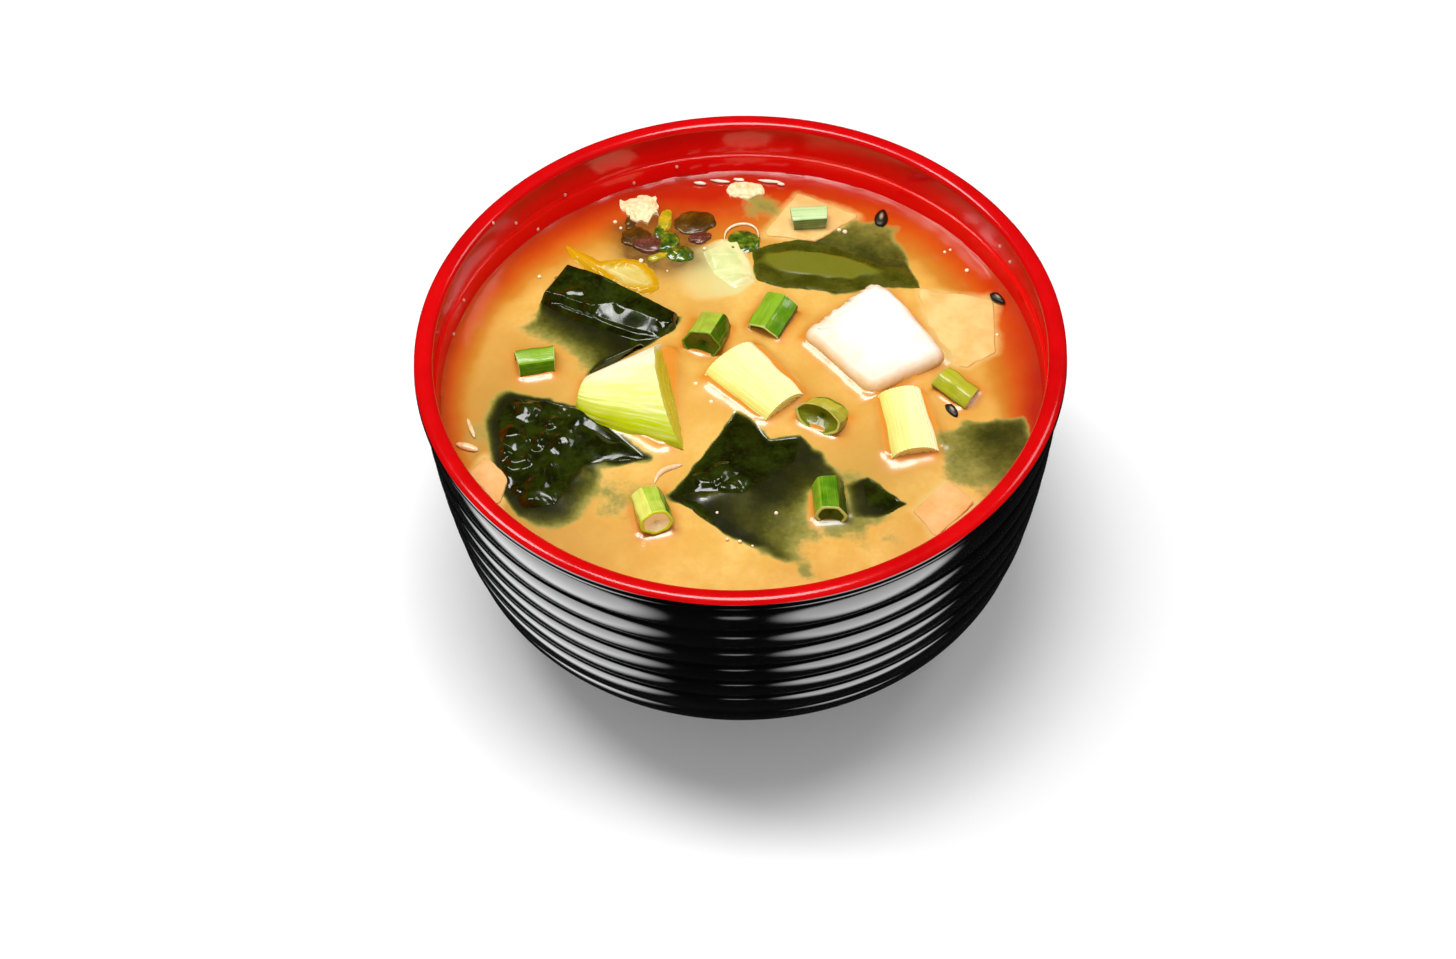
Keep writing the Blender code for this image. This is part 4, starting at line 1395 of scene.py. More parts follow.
def leek_length(name, material, start_size, end_size, hollow, seed, skew=0.0, lean=0.0, widening=1.0):
    """Sections carried from end to end: sizes and places run straight between the ends, fibres and slow
    noise stand out from the surface, and at each end rings shrink inwards over a shallow hollow with small
    steps for its layers. The far end may be skewed to one side and lean over at its top."""
    start, end = plan(name, LEEK_ENDS[name])
    along = (end - start) / np.linalg.norm(end - start)
    across = np.array([-along[1], along[0]])
    reach = np.linalg.norm(end - start)
    turn = np.linspace(-math.pi / 2, 1.5 * math.pi, LEEK_AROUND, endpoint=False)
    inward = np.linspace(SMALLEST_RING, 1.0, LEEK_LAYERS)
    end_rings = LEEK_LAYERS - 1
    share = np.concatenate([np.zeros(end_rings), np.linspace(0.0, 1.0, LEEK_STATIONS), np.ones(end_rings)])
    scale = np.concatenate([inward[:-1], np.ones(LEEK_STATIONS), inward[-2::-1]])
    cut = 1.0 - scale
    half, rise, sunk = (a + (b - a) * share[:, None] ** widening for a, b in zip(start_size, end_size))
    side, up = section(half, rise, sunk, turn[None, :])
    fibre = FIBRE_HEIGHT * np.sin(FIBRES * turn) + FINE_FIBRE_HEIGHT * np.sin(FINE_FIBRES * turn + 1.0)
    uneven = LEEK_SWELL * swell(share[:, None] * reach, turn[None, :] * half, 8.0, seed)
    out = (fibre[None, :] + uneven) * scale[:, None]
    side = side * scale[:, None] + out * np.cos(turn)
    up = up * scale[:, None] + out * np.sin(turn)
    layered = LAYER_STEP_HEIGHT * np.sin(TAU * LAYER_STEPS * scale) * (scale < 1.0)
    dip = hollow * (1.0 - scale**2) + layered
    ends = np.where(share < 0.5, 1.0, -1.0) * dip
    far = share[:, None] * reach + ends[:, None] + skew * side * (2.0 * share[:, None] - 1.0)
    far = far - lean * np.maximum(up, 0.0) * share[:, None] ** 4
    rings = np.empty((len(share), LEEK_AROUND, 3))
    rings[:, :, :2] = start + far[:, :, None] * along + side[:, :, None] * across
    rings[:, :, 2] = LEVEL + up
    made = ringed(name + "_length", rings, material, smooth_below=45.0)
    tips = [0.0, 0.0]
    mark(made, "along", np.append(np.repeat(share * reach, LEEK_AROUND), [0.0, reach]))
    mark(made, "round", np.append(np.tile((turn + math.pi / 2) / TAU, len(share)), tips))
    mark(made, "far_side", np.append((side / half).ravel(), tips))
    mark(made, "cut", np.append(np.repeat(cut, LEEK_AROUND), [1.0, 1.0]))
    mark(made, "over", np.append((rings[:, :, 2] - LEVEL).ravel(), tips))
    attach(made, "root")
    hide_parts(name)
    return made


print("leek shape ready")


# %% Leek finishes
WAY_ROUND = 40.0


def streaks(tree, width, length):
    """Noise that follows a leaf, about width mm wide round it, where once round is taken as the way round
    in mm, and length mm long along it."""
    far = sums(tree, "DIVIDE", attribute(tree, "along"), length)
    side = sums(tree, "MULTIPLY", attribute(tree, "round"), WAY_ROUND / width)
    place = node(tree, "ShaderNodeCombineXYZ", X=far, Y=side).outputs["Vector"]
    return node(tree, "ShaderNodeTexNoise", {"Scale": 1.0, "Detail": 4.0}, Vector=place).outputs["Fac"]


def simmered_leek(name, far_colour, mid_colour, near_colour, cut_colour):
    """Leek simmered half clear: three colours from far to near side, fine streaks, a deeper cut face."""
    made, tree, shader = finish(name, 0.25, ior=1.40, Subsurface_Weight=0.12, Subsurface_Scale=1.5 * MM)
    fine = streaks(tree, 0.55, 9.0)
    broad = streaks(tree, 2.4, 16.0)
    share = between(tree, clouded(tree, attribute(tree, "far_side"), broad, 0.25), -0.9, 0.9)
    colour = ramp(tree, share, [(0.0, near_colour), (0.5, mid_colour), (1.0, far_colour)])
    colour = mixed(tree, between(tree, fine, 0.52, 0.7, 0.0, 0.22), colour, near_colour)
    colour = mixed(tree, between(tree, fine, 0.45, 0.3, 0.0, 0.25), colour, far_colour)
    wet = between(tree, attribute(tree, "over"), 0.9, 0.0, 0.0, 0.55)
    colour = mixed(tree, wet, colour, cut_colour)
    colour = mixed(tree, between(tree, attribute(tree, "cut"), 0.0, 0.12), colour, cut_colour)
    coloured(tree, shader, colour, broad, 0.18, 0.36)
    bumped(tree, shader, fine, 0.07)
    return made


green_leek = simmered_leek("simmered_leek_yellow_green", "#FAF7E0", "#F0EC94", "#B6C408", "#CFC22C")
cream_leek = simmered_leek("simmered_leek_cream", "#FAF3BC", "#F6EE9C", "#E6DA70", "#EAD470")
print("leek finishes: two")

# %% Put the leek in
leek_length(
    "leek_left", green_leek, (3.8, 3.4, 2.5), (13.2, 6.0, 3.0), hollow=-0.6, seed=51, skew=-0.20, lean=0.5,
    widening=0.72,
)
leek_length("leek_middle", cream_leek, (6.6, 3.4, 2.5), (5.2, 3.2, 2.5), hollow=0.1, seed=52)
leek_length("leek_right", cream_leek, (4.4, 2.8, 2.5), (5.0, 3.2, 2.5), hollow=0.4, seed=53)
print("leek: three lengths")

# %% [markdown]
# ## Scallion
# Each cut is a short length of hollow scallion leaf. The leaf isn't round: ribs run along it, so a cut
# shows flat facets, pale on top, partly from a wax bloom and partly painted light on the side that faces
# the lamps, and deep green at the sides, with a pale wet edge at each end and a dark hollow. It is one
# closed skin: out along the outside, over the cut edge, back along the inside and over the other edge.


# %% Scallion's facets and wall
def facets(turn, count, share):
    """A radius that is part circle and part polygon of n sides, cos(pi / n) / cos(angle from the side's
    middle), averaged over a few degrees so that its corners come out round, and the angle of each point's
    side."""
    step = TAU / count
    from_middle = (turn % step) - step / 2.0
    near = (turn[:, None] + np.radians([-8.0, -4.0, 0.0, 4.0, 8.0])) % step - step / 2.0
    polygon = (math.cos(step / 2.0) / np.cos(near)).mean(axis=1)
    return (1.0 - share) + share * polygon, turn - from_middle


OUT_STEPS, CUT_STEPS, SCALLION_AROUND = 26, 5, 96
FACETED_SHARE = 0.8
HOLLOW_CLOSES_BY, CUT_SHOWS_INSIDE = 0.97, 0.3


def wall_section(half, radius, wall, hollow):
    """The loop of (reach, radius) points round the wall: out along the outside, over the round cut edge,
    back along the inside, which closes to a point at the depth of the hollow, and over the other edge. Each
    point is marked for how much of the cut face and of the inside it shows."""
    edge = np.linspace(0.0, math.pi, CUT_STEPS + 2)[1:-1]
    inner = radius - wall
    cut_radius = (radius + inner) / 2.0 + wall / 2.0 * np.cos(edge)
    cut_reach = half + 0.25 * wall * np.sin(edge)
    out = np.linspace(-half, half, OUT_STEPS)
    closing = 1.0 - HOLLOW_CLOSES_BY * eased(half - np.abs(out), 0.0, hollow)
    reach = np.concatenate([out, cut_reach, out[::-1], -cut_reach])
    radii = np.concatenate([np.full(OUT_STEPS, radius), cut_radius, inner * closing[::-1], cut_radius[::-1]])
    steps = (OUT_STEPS, CUT_STEPS, OUT_STEPS, CUT_STEPS)
    is_cut = np.repeat((0.0, 1.0, 0.0, 1.0), steps)
    return reach, radii, is_cut, np.repeat((0.0, CUT_SHOWS_INSIDE, 1.0, CUT_SHOWS_INSIDE), steps)


print("scallion helpers ready")


# %% Scallion cuts
SQUEEZED, UNEVEN, SLANTED = 0.04, 0.03, 0.07


def scallion_cut(name, material, rise, flat, seed, tilt=0.0, wall=0.8, sides=6, spin=0.0, pale_side=90.0,
                 offset=0.0, hollow=2.5):
    """The wall's section carried round the leaf's axis, with facets, squeezed to an oval, uneven by slow
    noise and slanted at its ends, then leant by the tilt and turned to its heading. Each side keeps how
    far it faces the lit side, which is painted paler as painted light."""
    length, radius = SCALLION_SIZES[name]
    centre = plan(name, [(0.5, 0.5)])[0]
    half = length / 2.0
    reach, radii, is_cut, is_inside = wall_section(half, radius, wall, hollow)
    turn = np.linspace(0.0, TAU, SCALLION_AROUND, endpoint=False)
    rng = np.random.default_rng(seed)
    shape, facing = facets(turn + math.radians(spin), sides, FACETED_SHARE)
    facing = facing - math.radians(spin)
    shape = shape * (1.0 + SQUEEZED * np.cos(2.0 * turn + rng.uniform(0.0, TAU)))
    shape = shape[None, :] * (1.0 + UNEVEN * swell(reach[:, None], turn[None, :] * radius, 5.0, seed))
    far = reach[:, None] * (1.0 + SLANTED * np.cos(turn + rng.uniform(0.0, TAU))[None, :])
    side = radii[:, None] * shape * np.cos(turn)
    up = flat * radii[:, None] * shape * np.sin(turn) + offset * is_inside[:, None]
    lean, head = math.radians(tilt), math.radians(SCALLION_HEADINGS[name])
    forward = far * math.cos(lean) - up * math.sin(lean)
    up = far * math.sin(lean) + up * math.cos(lean)
    points = np.empty((*up.shape, 3))
    points[:, :, 0] = centre[0] + forward * math.cos(head) - side * math.sin(head)
    points[:, :, 1] = centre[1] + forward * math.sin(head) + side * math.cos(head)
    points[:, :, 2] = LEVEL + rise + up
    rows, around = up.shape
    join = strip((rows - 1) * around + np.arange(around), np.arange(around))
    quads = np.concatenate([band_faces(rows, around), join])
    made = put_in_scene(name + "_cut", points.reshape(-1, 3), [quads], material, smooth_below=40.0)
    mark(made, "along", np.repeat(reach + half, around))
    mark(made, "round", np.tile(turn / TAU, rows))
    mark(made, "cut", np.repeat(is_cut, around))
    mark(made, "inside", np.repeat(is_inside, around))
    # Painted light: how far each side faces the lit side, which the finish makes paler.
    mark(made, "lit_facing", np.tile(np.cos(facing - math.radians(pale_side)), rows))
    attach(made, "root")
    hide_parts(name)
    return made


print("scallion shape ready")


# %% Scallion finishes
def cut_scallion(name, deep, fresh, pale, rim, hollow):
    """Raw scallion leaf: deep to fresh green sides, one pale side, partly wax bloom and partly painted light,
    juicy cut edges, fine veins.
    """
    made, tree, shader = finish(name, 0.2, ior=1.42, Coat_Weight=0.5, Coat_Roughness=0.06)
    vein = streaks(tree, 0.5, 12.0)
    broad = streaks(tree, 1.6, 14.0)
    cloud = spots(tree, 2.6, detail=3.0)
    # Painted light: facets that face the lit side are paler.
    facing = clouded(tree, attribute(tree, "lit_facing"), cloud, 0.15)
    colour = ramp(tree, between(tree, facing, -0.2, 1.0), [(0.0, deep), (0.5, fresh), (0.95, pale)])
    colour = mixed(tree, between(tree, vein, 0.52, 0.68, 0.0, 0.35), colour, pale)
    colour = mixed(tree, between(tree, broad, 0.5, 0.3, 0.0, 0.3), colour, deep)
    colour = mixed(tree, attribute(tree, "inside"), colour, hollow)
    colour = mixed(tree, attribute(tree, "cut"), colour, rim)
    coloured(tree, shader, colour, vein, 0.14, 0.3)
    bumped(tree, shader, vein, 0.10)
    return made


deep_green = cut_scallion("raw_scallion_deep_green", "#1F4200", "#467402", "#A8C43C", "#66861A", "#3F5600")
fresh_green = cut_scallion("raw_scallion_fresh_green", "#1F4800", "#3F7602", "#86AC22", "#C9D470", "#3E6004")
light_green = cut_scallion("raw_scallion_light_green", "#4A8002", "#8AB408", "#E6EA70", "#CCDD30", "#FFF0B4")
olive_green = cut_scallion("raw_scallion_olive", "#4C5A02", "#85900A", "#B4B428", "#BCB858", "#707608")
celadon = cut_scallion("raw_scallion_celadon", "#3C5A20", "#86AC58", "#C2DA9A", "#B9C690", "#4B5B2A")
print("scallion finishes: five")

# %% Put the scallion in
scallion_cut(
    "scallion_back_left", deep_green, rise=1.2, flat=0.78, seed=61, tilt=-20.0, wall=0.5, spin=5.0,
    pale_side=55.0, hollow=1.6,
)
scallion_cut(
    "scallion_back_right", fresh_green, rise=1.0, flat=0.7, seed=62, tilt=7.0, spin=20.0, pale_side=75.0,
    hollow=1.0,
)
scallion_cut("scallion_left", fresh_green, rise=1.3, flat=0.85, seed=63, spin=-12.0, pale_side=98.0)
scallion_cut(
    "scallion_ring", olive_green, rise=0.9, flat=0.62, seed=64, tilt=-32.0, wall=0.5, sides=9, offset=0.45,
    hollow=2.6,
)
scallion_cut(
    "scallion_right", olive_green, rise=1.2, flat=0.75, seed=65, tilt=-12.0, spin=10.0, pale_side=100.0,
)
scallion_cut(
    "scallion_front_left", light_green, rise=1.5, flat=0.85, seed=66, tilt=22.0, sides=7, pale_side=132.0,
    hollow=0.5,
)
scallion_cut(
    "scallion_front_right", fresh_green, rise=1.4, flat=0.9, seed=67, tilt=3.0, pale_side=150.0, hollow=1.0,
)
scallion_cut(
    "scallion_on_tofu", celadon, rise=2.0, flat=0.95, seed=68, wall=0.6, sides=4, spin=40.0, pale_side=95.0,
)
print("scallion: eight cuts")

# %% [markdown]
# ## Wakame and soft leaves
# Wakame is slippery and nearly black where it is double, olive where light passes. It blisters and crinkles
# as it soaks, and every slope that faces the lamp turns white. Cabbage and onion are pale, half clear and
# almost flat. Each leaf is made of rings: the outline, rounded and torn a little, is drawn in towards its
# middle in even steps, and the height function from before lifts each point. The underside is the same net
# a thickness lower.


# %% A leaf as a closed sheet
def rounded_edge(corners, around, rounding):
    """Even steps along a closed outline, each then the mean of the steps within the rounding round it."""
    closed = np.vstack([corners, corners[:1]])
    walked = np.concatenate([[0.0], np.cumsum(np.hypot(*np.diff(closed, axis=0).T))])
    steps = np.linspace(0.0, walked[-1], around, endpoint=False)
    even = np.stack([np.interp(steps, walked, closed[:, k]) for k in (0, 1)], axis=1)
    width = max(1, int(rounding / walked[-1] * around))
    wrapped = np.concatenate([even[-width:], even, even[:width]])
    kernel = np.full(width, 1.0 / width)
    return np.stack([np.convolve(wrapped[:, k], kernel, "same") for k in (0, 1)], axis=1)[width:-width]


def sheet(name, outline, over, material, slot_name, rings, around, seed, thickness=0.45, rounding=1.2,
          ragged=0.25):
    """A closed sheet between a net of rings, drawn in from the outline to its middle, and the same net a
    thickness lower. over gives the height over the broth at each place."""
    edge = rounded_edge(outline, around, rounding)
    middle = edge.mean(axis=0)
    share = np.linspace(0.0, 1.0, rings + 1)[1:, None, None]
    place = middle + (edge - middle) * share
    x, y = place[:, :, 0], place[:, :, 1]
    push = ragged * share[:, :, 0] ** 6
    x, y = x + push * swell(x, y, 2.6, seed + 1), y + push * swell(x, y, 2.6, seed + 2)
    lift = over(x, y)
    upper = np.stack([x, y, LEVEL + slow_swell(x, y) + lift], axis=-1)
    lower = upper - (0.0, 0.0, thickness)
    made = ringed(name, np.concatenate([lower, upper[::-1]]), material, smooth_below=80.0)
    spread = place.reshape(-1, 2) - middle
    main = np.linalg.svd(spread, full_matrices=False)[2][0]
    along, across = (place - middle) @ main, (place - middle) @ (-main[1], main[0])
    labels = {"along": along, "round": across / WAY_ROUND, "over": lift, "edge": inside(x, y, outline)}
    for label, values in labels.items():
        both = np.concatenate([values, values[::-1]]).ravel()
        mark(made, label, np.append(both, [values[0].mean(), values[0].mean()]))
    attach(made, "root")
    return made


def leaf(name, material, slot_name, **settings):
    """The sheet that stands for one leaf's solid."""
    outline = plan(name, WHOLE_LEAVES[name])
    made = sheet(name + "_leaf", outline, partial(leaf_over, name), material, slot_name, **settings)
    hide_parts(name)
    return made


print("sheet helpers ready")


# %% Wakame
def wakame(name, dark, green, thin, sunk, high=None, gloss=0.12):
    """Soaked seaweed: nearly black, greener in clouds, olive at its thin edge, under a wet film."""
    wet = {"Coat_Weight": 1.0, "Coat_IOR": 1.33, "Coat_Roughness": 0.12}
    made, tree, shader = finish(name, gloss, ior=1.36, **wet)
    cloud = spots(tree, 4.0, detail=4.0, rough=0.6)
    fine = spots(tree, 0.8, detail=5.0, rough=0.6)
    colour = mixed(tree, between(tree, cloud, 0.4, 0.62), dark, green)
    colour = mixed(tree, between(tree, fine, 0.5, 0.72, 0.0, 0.25), colour, thin)
    if high:
        colour = mixed(tree, between(tree, attribute(tree, "over"), 0.14, 0.26), colour, high)
    colour = mixed(tree, between(tree, attribute(tree, "edge"), 0.8, 0.1, 0.0, 0.5), colour, thin)
    colour = mixed(tree, between(tree, attribute(tree, "over"), 0.12, -0.05, 0.0, 0.9), colour, sunk)
    coloured(tree, shader, colour, cloud, 0.8 * gloss, 1.8 * gloss)
    bumped(tree, shader, fine, 0.018)
    return made


dark_wakame = wakame("soaked_wakame_dark", "#121500", "#253002", "#42450A", "#1D1D00")
olive_wakame = wakame(
    "soaked_wakame_olive", "#3A3C02", "#50500A", "#63620F", "#45430A", high="#70701A", gloss=0.2,
)
leaf("wakame_left", dark_wakame, "wakame", rings=100, around=360, seed=110)
leaf("wakame_back", dark_wakame, "wakame", rings=90, around=340, rounding=0.8, ragged=0.12, seed=120)
leaf("wakame_middle", dark_wakame, "wakame", rings=100, around=360, seed=130)
leaf("wakame_tip", dark_wakame, "wakame", rings=30, around=160, seed=140)
leaf("wakame_far", olive_wakame, "wakame", rings=60, around=300, rounding=0.8, ragged=0.15, seed=150)
print("wakame: five leaves")

# %% [markdown]
# ## Cabbage and onion
# Both are pale and half clear from simmering, with fine veins along them. The cabbage has a wet cream rim
# where it is cut, and the onion's skin an orange one, so the finish reads how far each vertex is from the
# sheet's edge.


# %% Soft pale leaves
def soft_leaf(name, pale, deep, vein_colour, rim_colour):
    """Simmered leaf, half clear and wet: pale, deeper in clouds, with fine veins and a rim of its own."""
    made, tree, shader = finish(name, 0.2, ior=1.38, Subsurface_Weight=0.1, Subsurface_Scale=1.0 * MM)
    cloud = spots(tree, 4.5, detail=3.0)
    vein = streaks(tree, 1.2, 18.0)
    colour = mixed(tree, between(tree, cloud, 0.35, 0.65), pale, deep)
    colour = mixed(tree, between(tree, vein, 0.55, 0.68, 0.0, 0.6), colour, vein_colour)
    rim = clouded(tree, attribute(tree, "edge"), cloud, 0.8)
    colour = mixed(tree, between(tree, rim, 2.6, 1.6), colour, rim_colour)
    coloured(tree, shader, colour, cloud, 0.10, 0.22)
    bumped(tree, shader, vein, 0.08)
    return made


cabbage = soft_leaf("simmered_cabbage", "#E2E2A2", "#C9D08A", "#F6F2CC", "#E6D79A")
onion = soft_leaf("simmered_onion_skin", "#D8C878", "#CFB458", "#E9DC9A", "#CC9A0C")
leaf("cabbage_leaf", cabbage, "soft_leaf", rings=50, around=220, seed=161)
leaf("onion_slice", onion, "soft_leaf", rings=50, around=220, ragged=0.15, seed=171)
print("soft leaves: two")

# %% [markdown]
# ## Small things in the broth
# Between the large pieces float brown and green scraps, a torn cream crumb, pale flakes, sesame seeds, two
# rice grains, a thread of onion, specks of foam, and drops on the wall. Each kind is one joined mesh: a
# lump is an ellipsoid whose radius noise pushes about, and all lumps of a kind are worked out in one array.
# Their places are shares of the broth's radius, from the bowl's middle.


# %% Lumps
def ball(rings, around):
    """Points of a unit sphere: rings without the poles, then the lower and the upper pole."""
    rise = np.linspace(-math.pi / 2, math.pi / 2, rings + 2)[1:-1]
    turn = np.linspace(0.0, TAU, around, endpoint=False)
    unit = np.empty((rings, around, 3))
    unit[:, :, 0] = np.cos(rise)[:, None] * np.cos(turn)
    unit[:, :, 1] = np.cos(rise)[:, None] * np.sin(turn)
    unit[:, :, 2] = np.sin(rise)[:, None]
    return np.concatenate([unit.reshape(-1, 3), [(0.0, 0.0, -1.0), (0.0, 0.0, 1.0)]])


def ball_faces(copies, rings, around):
    """The quads and the end fans of this many balls, numbered one ball after another."""
    count = rings * around + 2
    quads, caps = [], []
    for start in range(0, copies * count, count):
        quads.append(band_faces(rings, around, start))
        first = start + np.arange(around)
        caps.append(fan(first[::-1], start + count - 2))
        caps.append(fan(first + (rings - 1) * around, start + count - 1))
    return [np.concatenate(quads), np.concatenate(caps)]


def lumps(name, rows, material, seed, knobs, taper=0.0, rings=12, around=18):
    """Ellipsoids from rows of (x, y as shares of the broth's radius, heading in degrees, half length, half
    width, half height, height of the middle over the broth in mm): r = 1 + knobs * noise, narrowed towards
    one end by the taper."""
    rows = np.array(rows, float)
    unit = ball(rings, around)
    ux, uy, uz = unit.T
    each = np.arange(len(rows))[:, None]
    bump = 1.0 + knobs * swell(ux * 2.0 + 7.0 * each, uy * 2.0 + uz * 1.7, 2.2, seed)
    bump = bump + 0.5 * knobs * swell(ux * 5.0 + 3.0 * each, uy * 5.0 + uz * 4.0, 2.4, seed + 1)
    local = unit[None] * rows[:, None, 3:6] * bump[:, :, None]
    ahead, side = local[:, :, 0], local[:, :, 1] * (1.0 - taper * ux)
    cos, sin = np.cos(np.radians(rows[:, 2:3])), np.sin(np.radians(rows[:, 2:3]))
    points = np.empty_like(local)
    points[:, :, 0] = rows[:, :1] * BROTH_EDGE + ahead * cos - side * sin
    points[:, :, 1] = rows[:, 1:2] * BROTH_EDGE + ahead * sin + side * cos
    points[:, :, 2] = LEVEL + rows[:, 6:7] + local[:, :, 2]
    made = put_in_scene(name, points.reshape(-1, 3), ball_faces(len(rows), rings, around), material)
    mark(made, "middle", np.tile(np.hypot(ux, uy * 1.3), len(rows)))
    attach(made, "root")
    return made


print("lump helpers ready")

# %% Threads
THREAD_STEPS, THREAD_AROUND = 60, 10


def thread(name, places, radius, material, rise=0.3):
    """A round thread along a smooth curve through places (shares of the broth's radius): points on a cubic
    through them, a circle across the path at each, drawn in to nothing at both ends."""
    places = np.array(places) * BROTH_EDGE
    known = np.linspace(0.0, 1.0, len(places))
    share = np.linspace(0.0, 1.0, THREAD_STEPS)
    path = np.stack([np.polyval(np.polyfit(known, places[:, k], 3), share) for k in (0, 1)], axis=1)
    ahead = np.gradient(path, axis=0)
    ahead /= np.linalg.norm(ahead, axis=1)[:, None]
    turn = np.linspace(0.0, TAU, THREAD_AROUND, endpoint=False)
    thick = radius * np.sqrt(np.sin(math.pi * share.clip(0.02, 0.98)))[:, None]
    rings = np.empty((THREAD_STEPS, THREAD_AROUND, 3))
    rings[:, :, 0] = path[:, :1] - ahead[:, 1:] * np.cos(turn) * thick
    rings[:, :, 1] = path[:, 1:] + ahead[:, :1] * np.cos(turn) * thick
    rings[:, :, 2] = LEVEL + rise + np.sin(turn) * thick
    made = ringed(name, rings, material)
    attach(made, "root")
    return made


print("thread helper ready")

# %% A finish for small scraps
SPOT_STOPS = (0.32, 0.50, 0.68)


def wet_food(name, colours, spot_size, roughness=0.25, depth=0.06, weight=0.6):
    """Any small wet scrap: three colours in spots of a given size, fine bump, under a film of broth."""
    made, tree, shader = finish(name, roughness, ior=1.40, Coat_Weight=weight, Coat_Roughness=0.06)
    cloud = spots(tree, spot_size, detail=4.0, rough=0.6)
    stops = list(zip(SPOT_STOPS, colours))
    fine = spots(tree, 0.5, detail=4.0)
    coloured(tree, shader, ramp(tree, cloud, stops), fine, 0.7 * roughness, 1.4 * roughness)
    bumped(tree, shader, fine, depth)
    return made


print("scrap finish ready")

# %% Scraps
SCRAPS = {
    "brown_scraps": [
        (-0.141, 0.760, 5.0, 4.3, 3.3, 0.7, -0.05), (-0.345, 0.700, 20.0, 3.3, 2.8, 0.8, -0.2),
        (-0.365, 0.766, 80.0, 2.0, 1.2, 0.6, 0.0),
    ],
    "plum_scraps": [(-0.125, 0.684, 10.0, 2.4, 1.6, 0.6, 0.0), (-0.300, 0.660, -10.0, 3.7, 2.4, 0.8, -0.05)],
    "green_scraps": [
        (-0.195, 0.612, -30.0, 3.2, 2.3, 0.9, 0.0), (-0.235, 0.665, 80.0, 3.0, 2.3, 0.9, 0.0),
        (-0.265, 0.715, 80.0, 2.4, 1.1, 0.7, 0.1), (0.025, 0.660, 0.0, 3.5, 3.3, 0.6, -0.2),
        (-0.60, 0.505, -10.0, 1.9, 1.3, 0.5, -0.15), (-0.435, 0.52, -20.0, 3.2, 1.4, 0.5, -0.3),
    ],
    "yellow_scraps": [(-0.245, 0.770, 78.0, 3.4, 1.4, 0.8, 0.1), (-0.27, 0.60, 20.0, 2.4, 0.9, 0.5, 0.0)],
}
brown = wet_food("simmered_mushroom_brown", ("#402602", "#523402", "#6A4A0C"), 3.0, depth=0.02, weight=0.2)
plum = wet_food("simmered_mushroom_plum", ("#4A2014", "#5C2E20", "#7A4632"), 2.0, depth=0.02, weight=0.4)
green = wet_food("simmered_green_stalk", ("#26400A", "#476010", "#8A9420"), 1.6, roughness=0.15, weight=1.0)
yellow = wet_food("simmered_yellow_leaf", ("#8F8A0C", "#B8A414", "#D9A81C"), 1.8)
for (name, rows), material, seed in zip(SCRAPS.items(), (brown, plum, green, yellow), (201, 205, 209, 213)):
    lumps(name, rows, material, seed, knobs=0.07, rings=20, around=40)
print("scraps:", {name: len(rows) for name, rows in SCRAPS.items()})


# %% Crumb and flake
def torn_relief(base, height, length, seed, x, y):
    """A level base in mm with bulges of this height and length on it."""
    return base + height * bulges(x, y, length, seed)


CRUMB = [
    (-0.41, 0.86), (-0.37, 0.88), (-0.28, 0.89), (-0.27, 0.83), (-0.30, 0.76), (-0.35, 0.76), (-0.38, 0.80),
]
FLAKE = [
    (-0.032, 0.900), (-0.01, 0.935), (0.04, 0.945), (0.10, 0.925), (0.11, 0.885), (0.05, 0.862), (0.0, 0.865),
]
torn_cream = wet_food(
    "torn_fish_crumb", ("#F3C084", "#FBDCA8", "#FFE8C4"), 1.2, roughness=0.5, depth=0.2, weight=0.1,
)
sheet(
    "torn_crumb", np.array(CRUMB) * BROTH_EDGE, partial(torn_relief, 0.45, 0.35, 2.6, 221), torn_cream,
    "soft_leaf", rings=40, around=220, seed=223, thickness=0.9, rounding=0.8, ragged=0.55,
)
sheet(
    "back_flake", np.array(FLAKE) * BROTH_EDGE, partial(torn_relief, 0.30, 0.25, 3.0, 227), torn_cream,
    "soft_leaf", rings=30, around=120, seed=229, thickness=0.6, rounding=1.4, ragged=0.2,
)
print("a crumb and a flake")


# %% Seeds and grains
def sesame_coat():
    """Black sesame: a thin dry-looking skin with a painted highlight, a paler patch in the middle of its flat
    side.
    """
    made, tree, shader = finish("black_sesame_skin", 0.35, ior=1.46)
    # Painted highlight: paler in the middle of the flat side.
    painted_glint = between(tree, attribute(tree, "middle"), 0.50, 0.12)
    tree.links.new(mixed(tree, painted_glint, "#17140A", "#A69C7C"), shader.inputs["Base Color"])
    bumped(tree, shader, spots(tree, 0.3), 0.05)
    return made


lumps(
    "sesame_seeds",
    [(0.51, 0.75, 80.0, 2.4, 1.35, 0.6, 0.35), (0.885, 0.35, -48.0, 1.9, 1.0, 0.6, 0.6),
     (0.695, -0.14, -62.0, 1.9, 0.95, 0.55, 0.3)],
    sesame_coat(), knobs=0.04, taper=0.25, seed=231,
)
rice = wet_food("boiled_rice_grain", ("#E4B070", "#F2D098", "#F8E4BC"), 1.0, roughness=0.2)
lumps(
    "rice_grains",
    [(-0.905, -0.235, -22.0, 2.4, 0.8, 0.6, 0.25), (-0.895, -0.155, 108.0, 2.6, 0.45, 0.35, 0.3)],
    rice, knobs=0.05, seed=235,
)
print("seeds and grains")


# %% Foam and drops
def clear_bead(name, colour):
    """A speck of foam, a drop or a clear thread: pale and smooth, so that it mirrors the lamp in white."""
    made, tree, shader = finish(name, 0.08, ior=1.34, Coat_Weight=1.0, Coat_Roughness=0.03)
    cloud = spots(tree, 1.0)
    tree.links.new(mixed(tree, cloud, colour, "#FFF2D8"), shader.inputs["Base Color"])
    return made


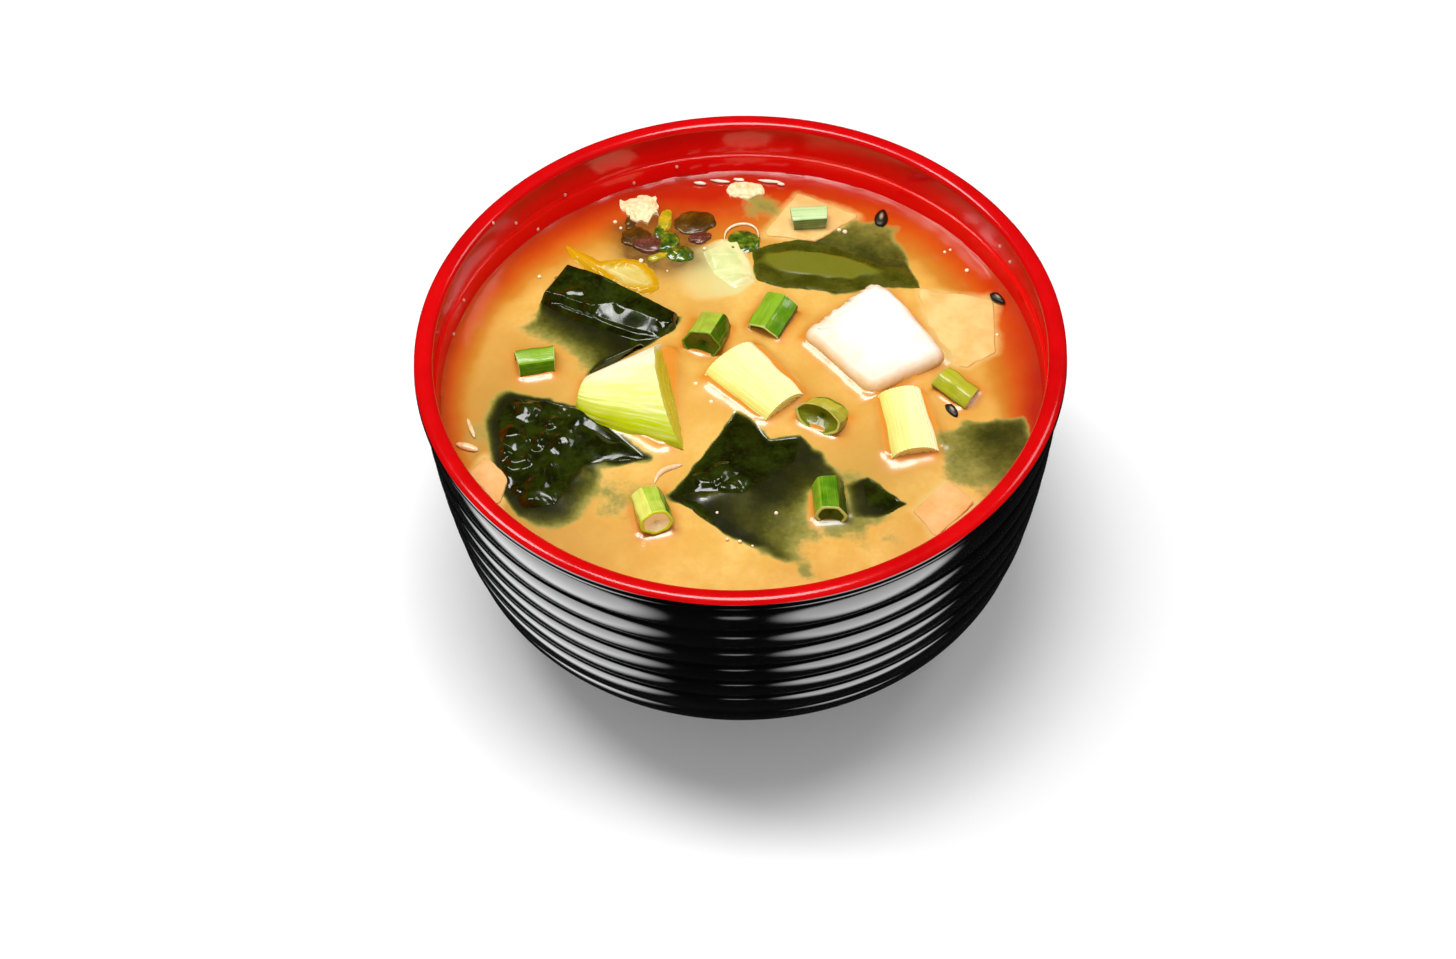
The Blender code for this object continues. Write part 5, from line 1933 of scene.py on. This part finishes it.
FOAM = [
    (0.74, 0.59), (0.72, 0.58), (0.79, 0.49), (0.87, 0.19), (0.28, -0.21), (0.31, -0.21), (0.22, -0.18),
    (-0.06, -0.65), (-0.02, -0.66), (0.02, -0.68), (-0.09, -0.54), (0.10, -0.55), (-0.40, -0.13),
    (-0.10, -0.07), (-0.15, 0.01), (-0.61, 0.49), (-0.58, 0.51), (-0.42, 0.77), (-0.40, 0.74), (-0.27, 0.72),
    (-0.33, 0.58), (-0.24, 0.53), (-0.11, 0.63), (-0.68, 0.52), (0.38, 0.69), (0.36, 0.70),
]
WALL_DROPS = [
    (-0.826, 0.586, 12.0), (-0.756, 0.670, 6.8), (-0.688, 0.729, 1.2), (-0.966, 0.259, 0.6),
    (-0.353, 0.938, 1.4), (0.925, 0.407, 7.5), (0.895, 0.469, 8.3), (-0.590, 0.820, 5.5), (-0.93, 0.36, 4.0),
    (-0.20, 0.985, 3.0),
]
STREAKS = [
    (-0.120, 0.946, 1.3), (-0.049, 0.953, 2.0), (0.02, 0.957, 1.2), (0.125, 0.945, 2.4), (0.165, 0.930, 0.8),
]
FOAM_SMALLEST, FOAM_LARGEST = 0.22, 0.55
DROP_RADIUS, DROP_HALF_HEIGHT = 0.33, 0.4
STREAK_HEADING, STREAK_HALF_WIDTH = -10.0, 0.35

radii = np.random.default_rng(241).uniform(FOAM_SMALLEST, FOAM_LARGEST, len(FOAM))
foam_rows = [(fx, fy, 0.0, r, r, 0.8 * r, 0.25 * r + 0.1) for (fx, fy), r in zip(FOAM, radii)]
foam = clear_bead("miso_foam", "#F6D9A4")
lumps("foam_specks", foam_rows, foam, 243, knobs=0.05, rings=6, around=10)
drop_rows = [(dx, dy, 0.0, DROP_RADIUS, DROP_RADIUS, DROP_HALF_HEIGHT, dz) for dx, dy, dz in WALL_DROPS]
red_drop = clear_bead("drop_on_red_lacquer", "#B00A06")
lumps("wall_drops", drop_rows, red_drop, 0, knobs=0.05, rings=6, around=10)
streak_rows = [(fx, fy, STREAK_HEADING, length, *3 * [STREAK_HALF_WIDTH]) for fx, fy, length in STREAKS]
foam_line = clear_bead("foam_line", "#FBEBD4")
lumps("foam_streaks", streak_rows, foam_line, 0, knobs=0.12, rings=8, around=12)
print(f"{len(FOAM)} specks of foam, {len(WALL_DROPS)} drops, {len(STREAKS)} streaks")

# %% Arc and shred
thread(
    "bright_arc", [(-0.038, 0.665), (-0.025, 0.715), (0.018, 0.745), (0.062, 0.725), (0.078, 0.675)], 0.30,
    clear_bead("onion_thread", "#E6C48C"),
)
thread(
    "orange_shred", [(-0.29, -0.41), (-0.27, -0.365), (-0.235, -0.345), (-0.20, -0.335)], 0.55,
    clear_bead("clear_carrot_shred", "#E79A3A"), rise=0.1,
)
print("an arc and a shred")
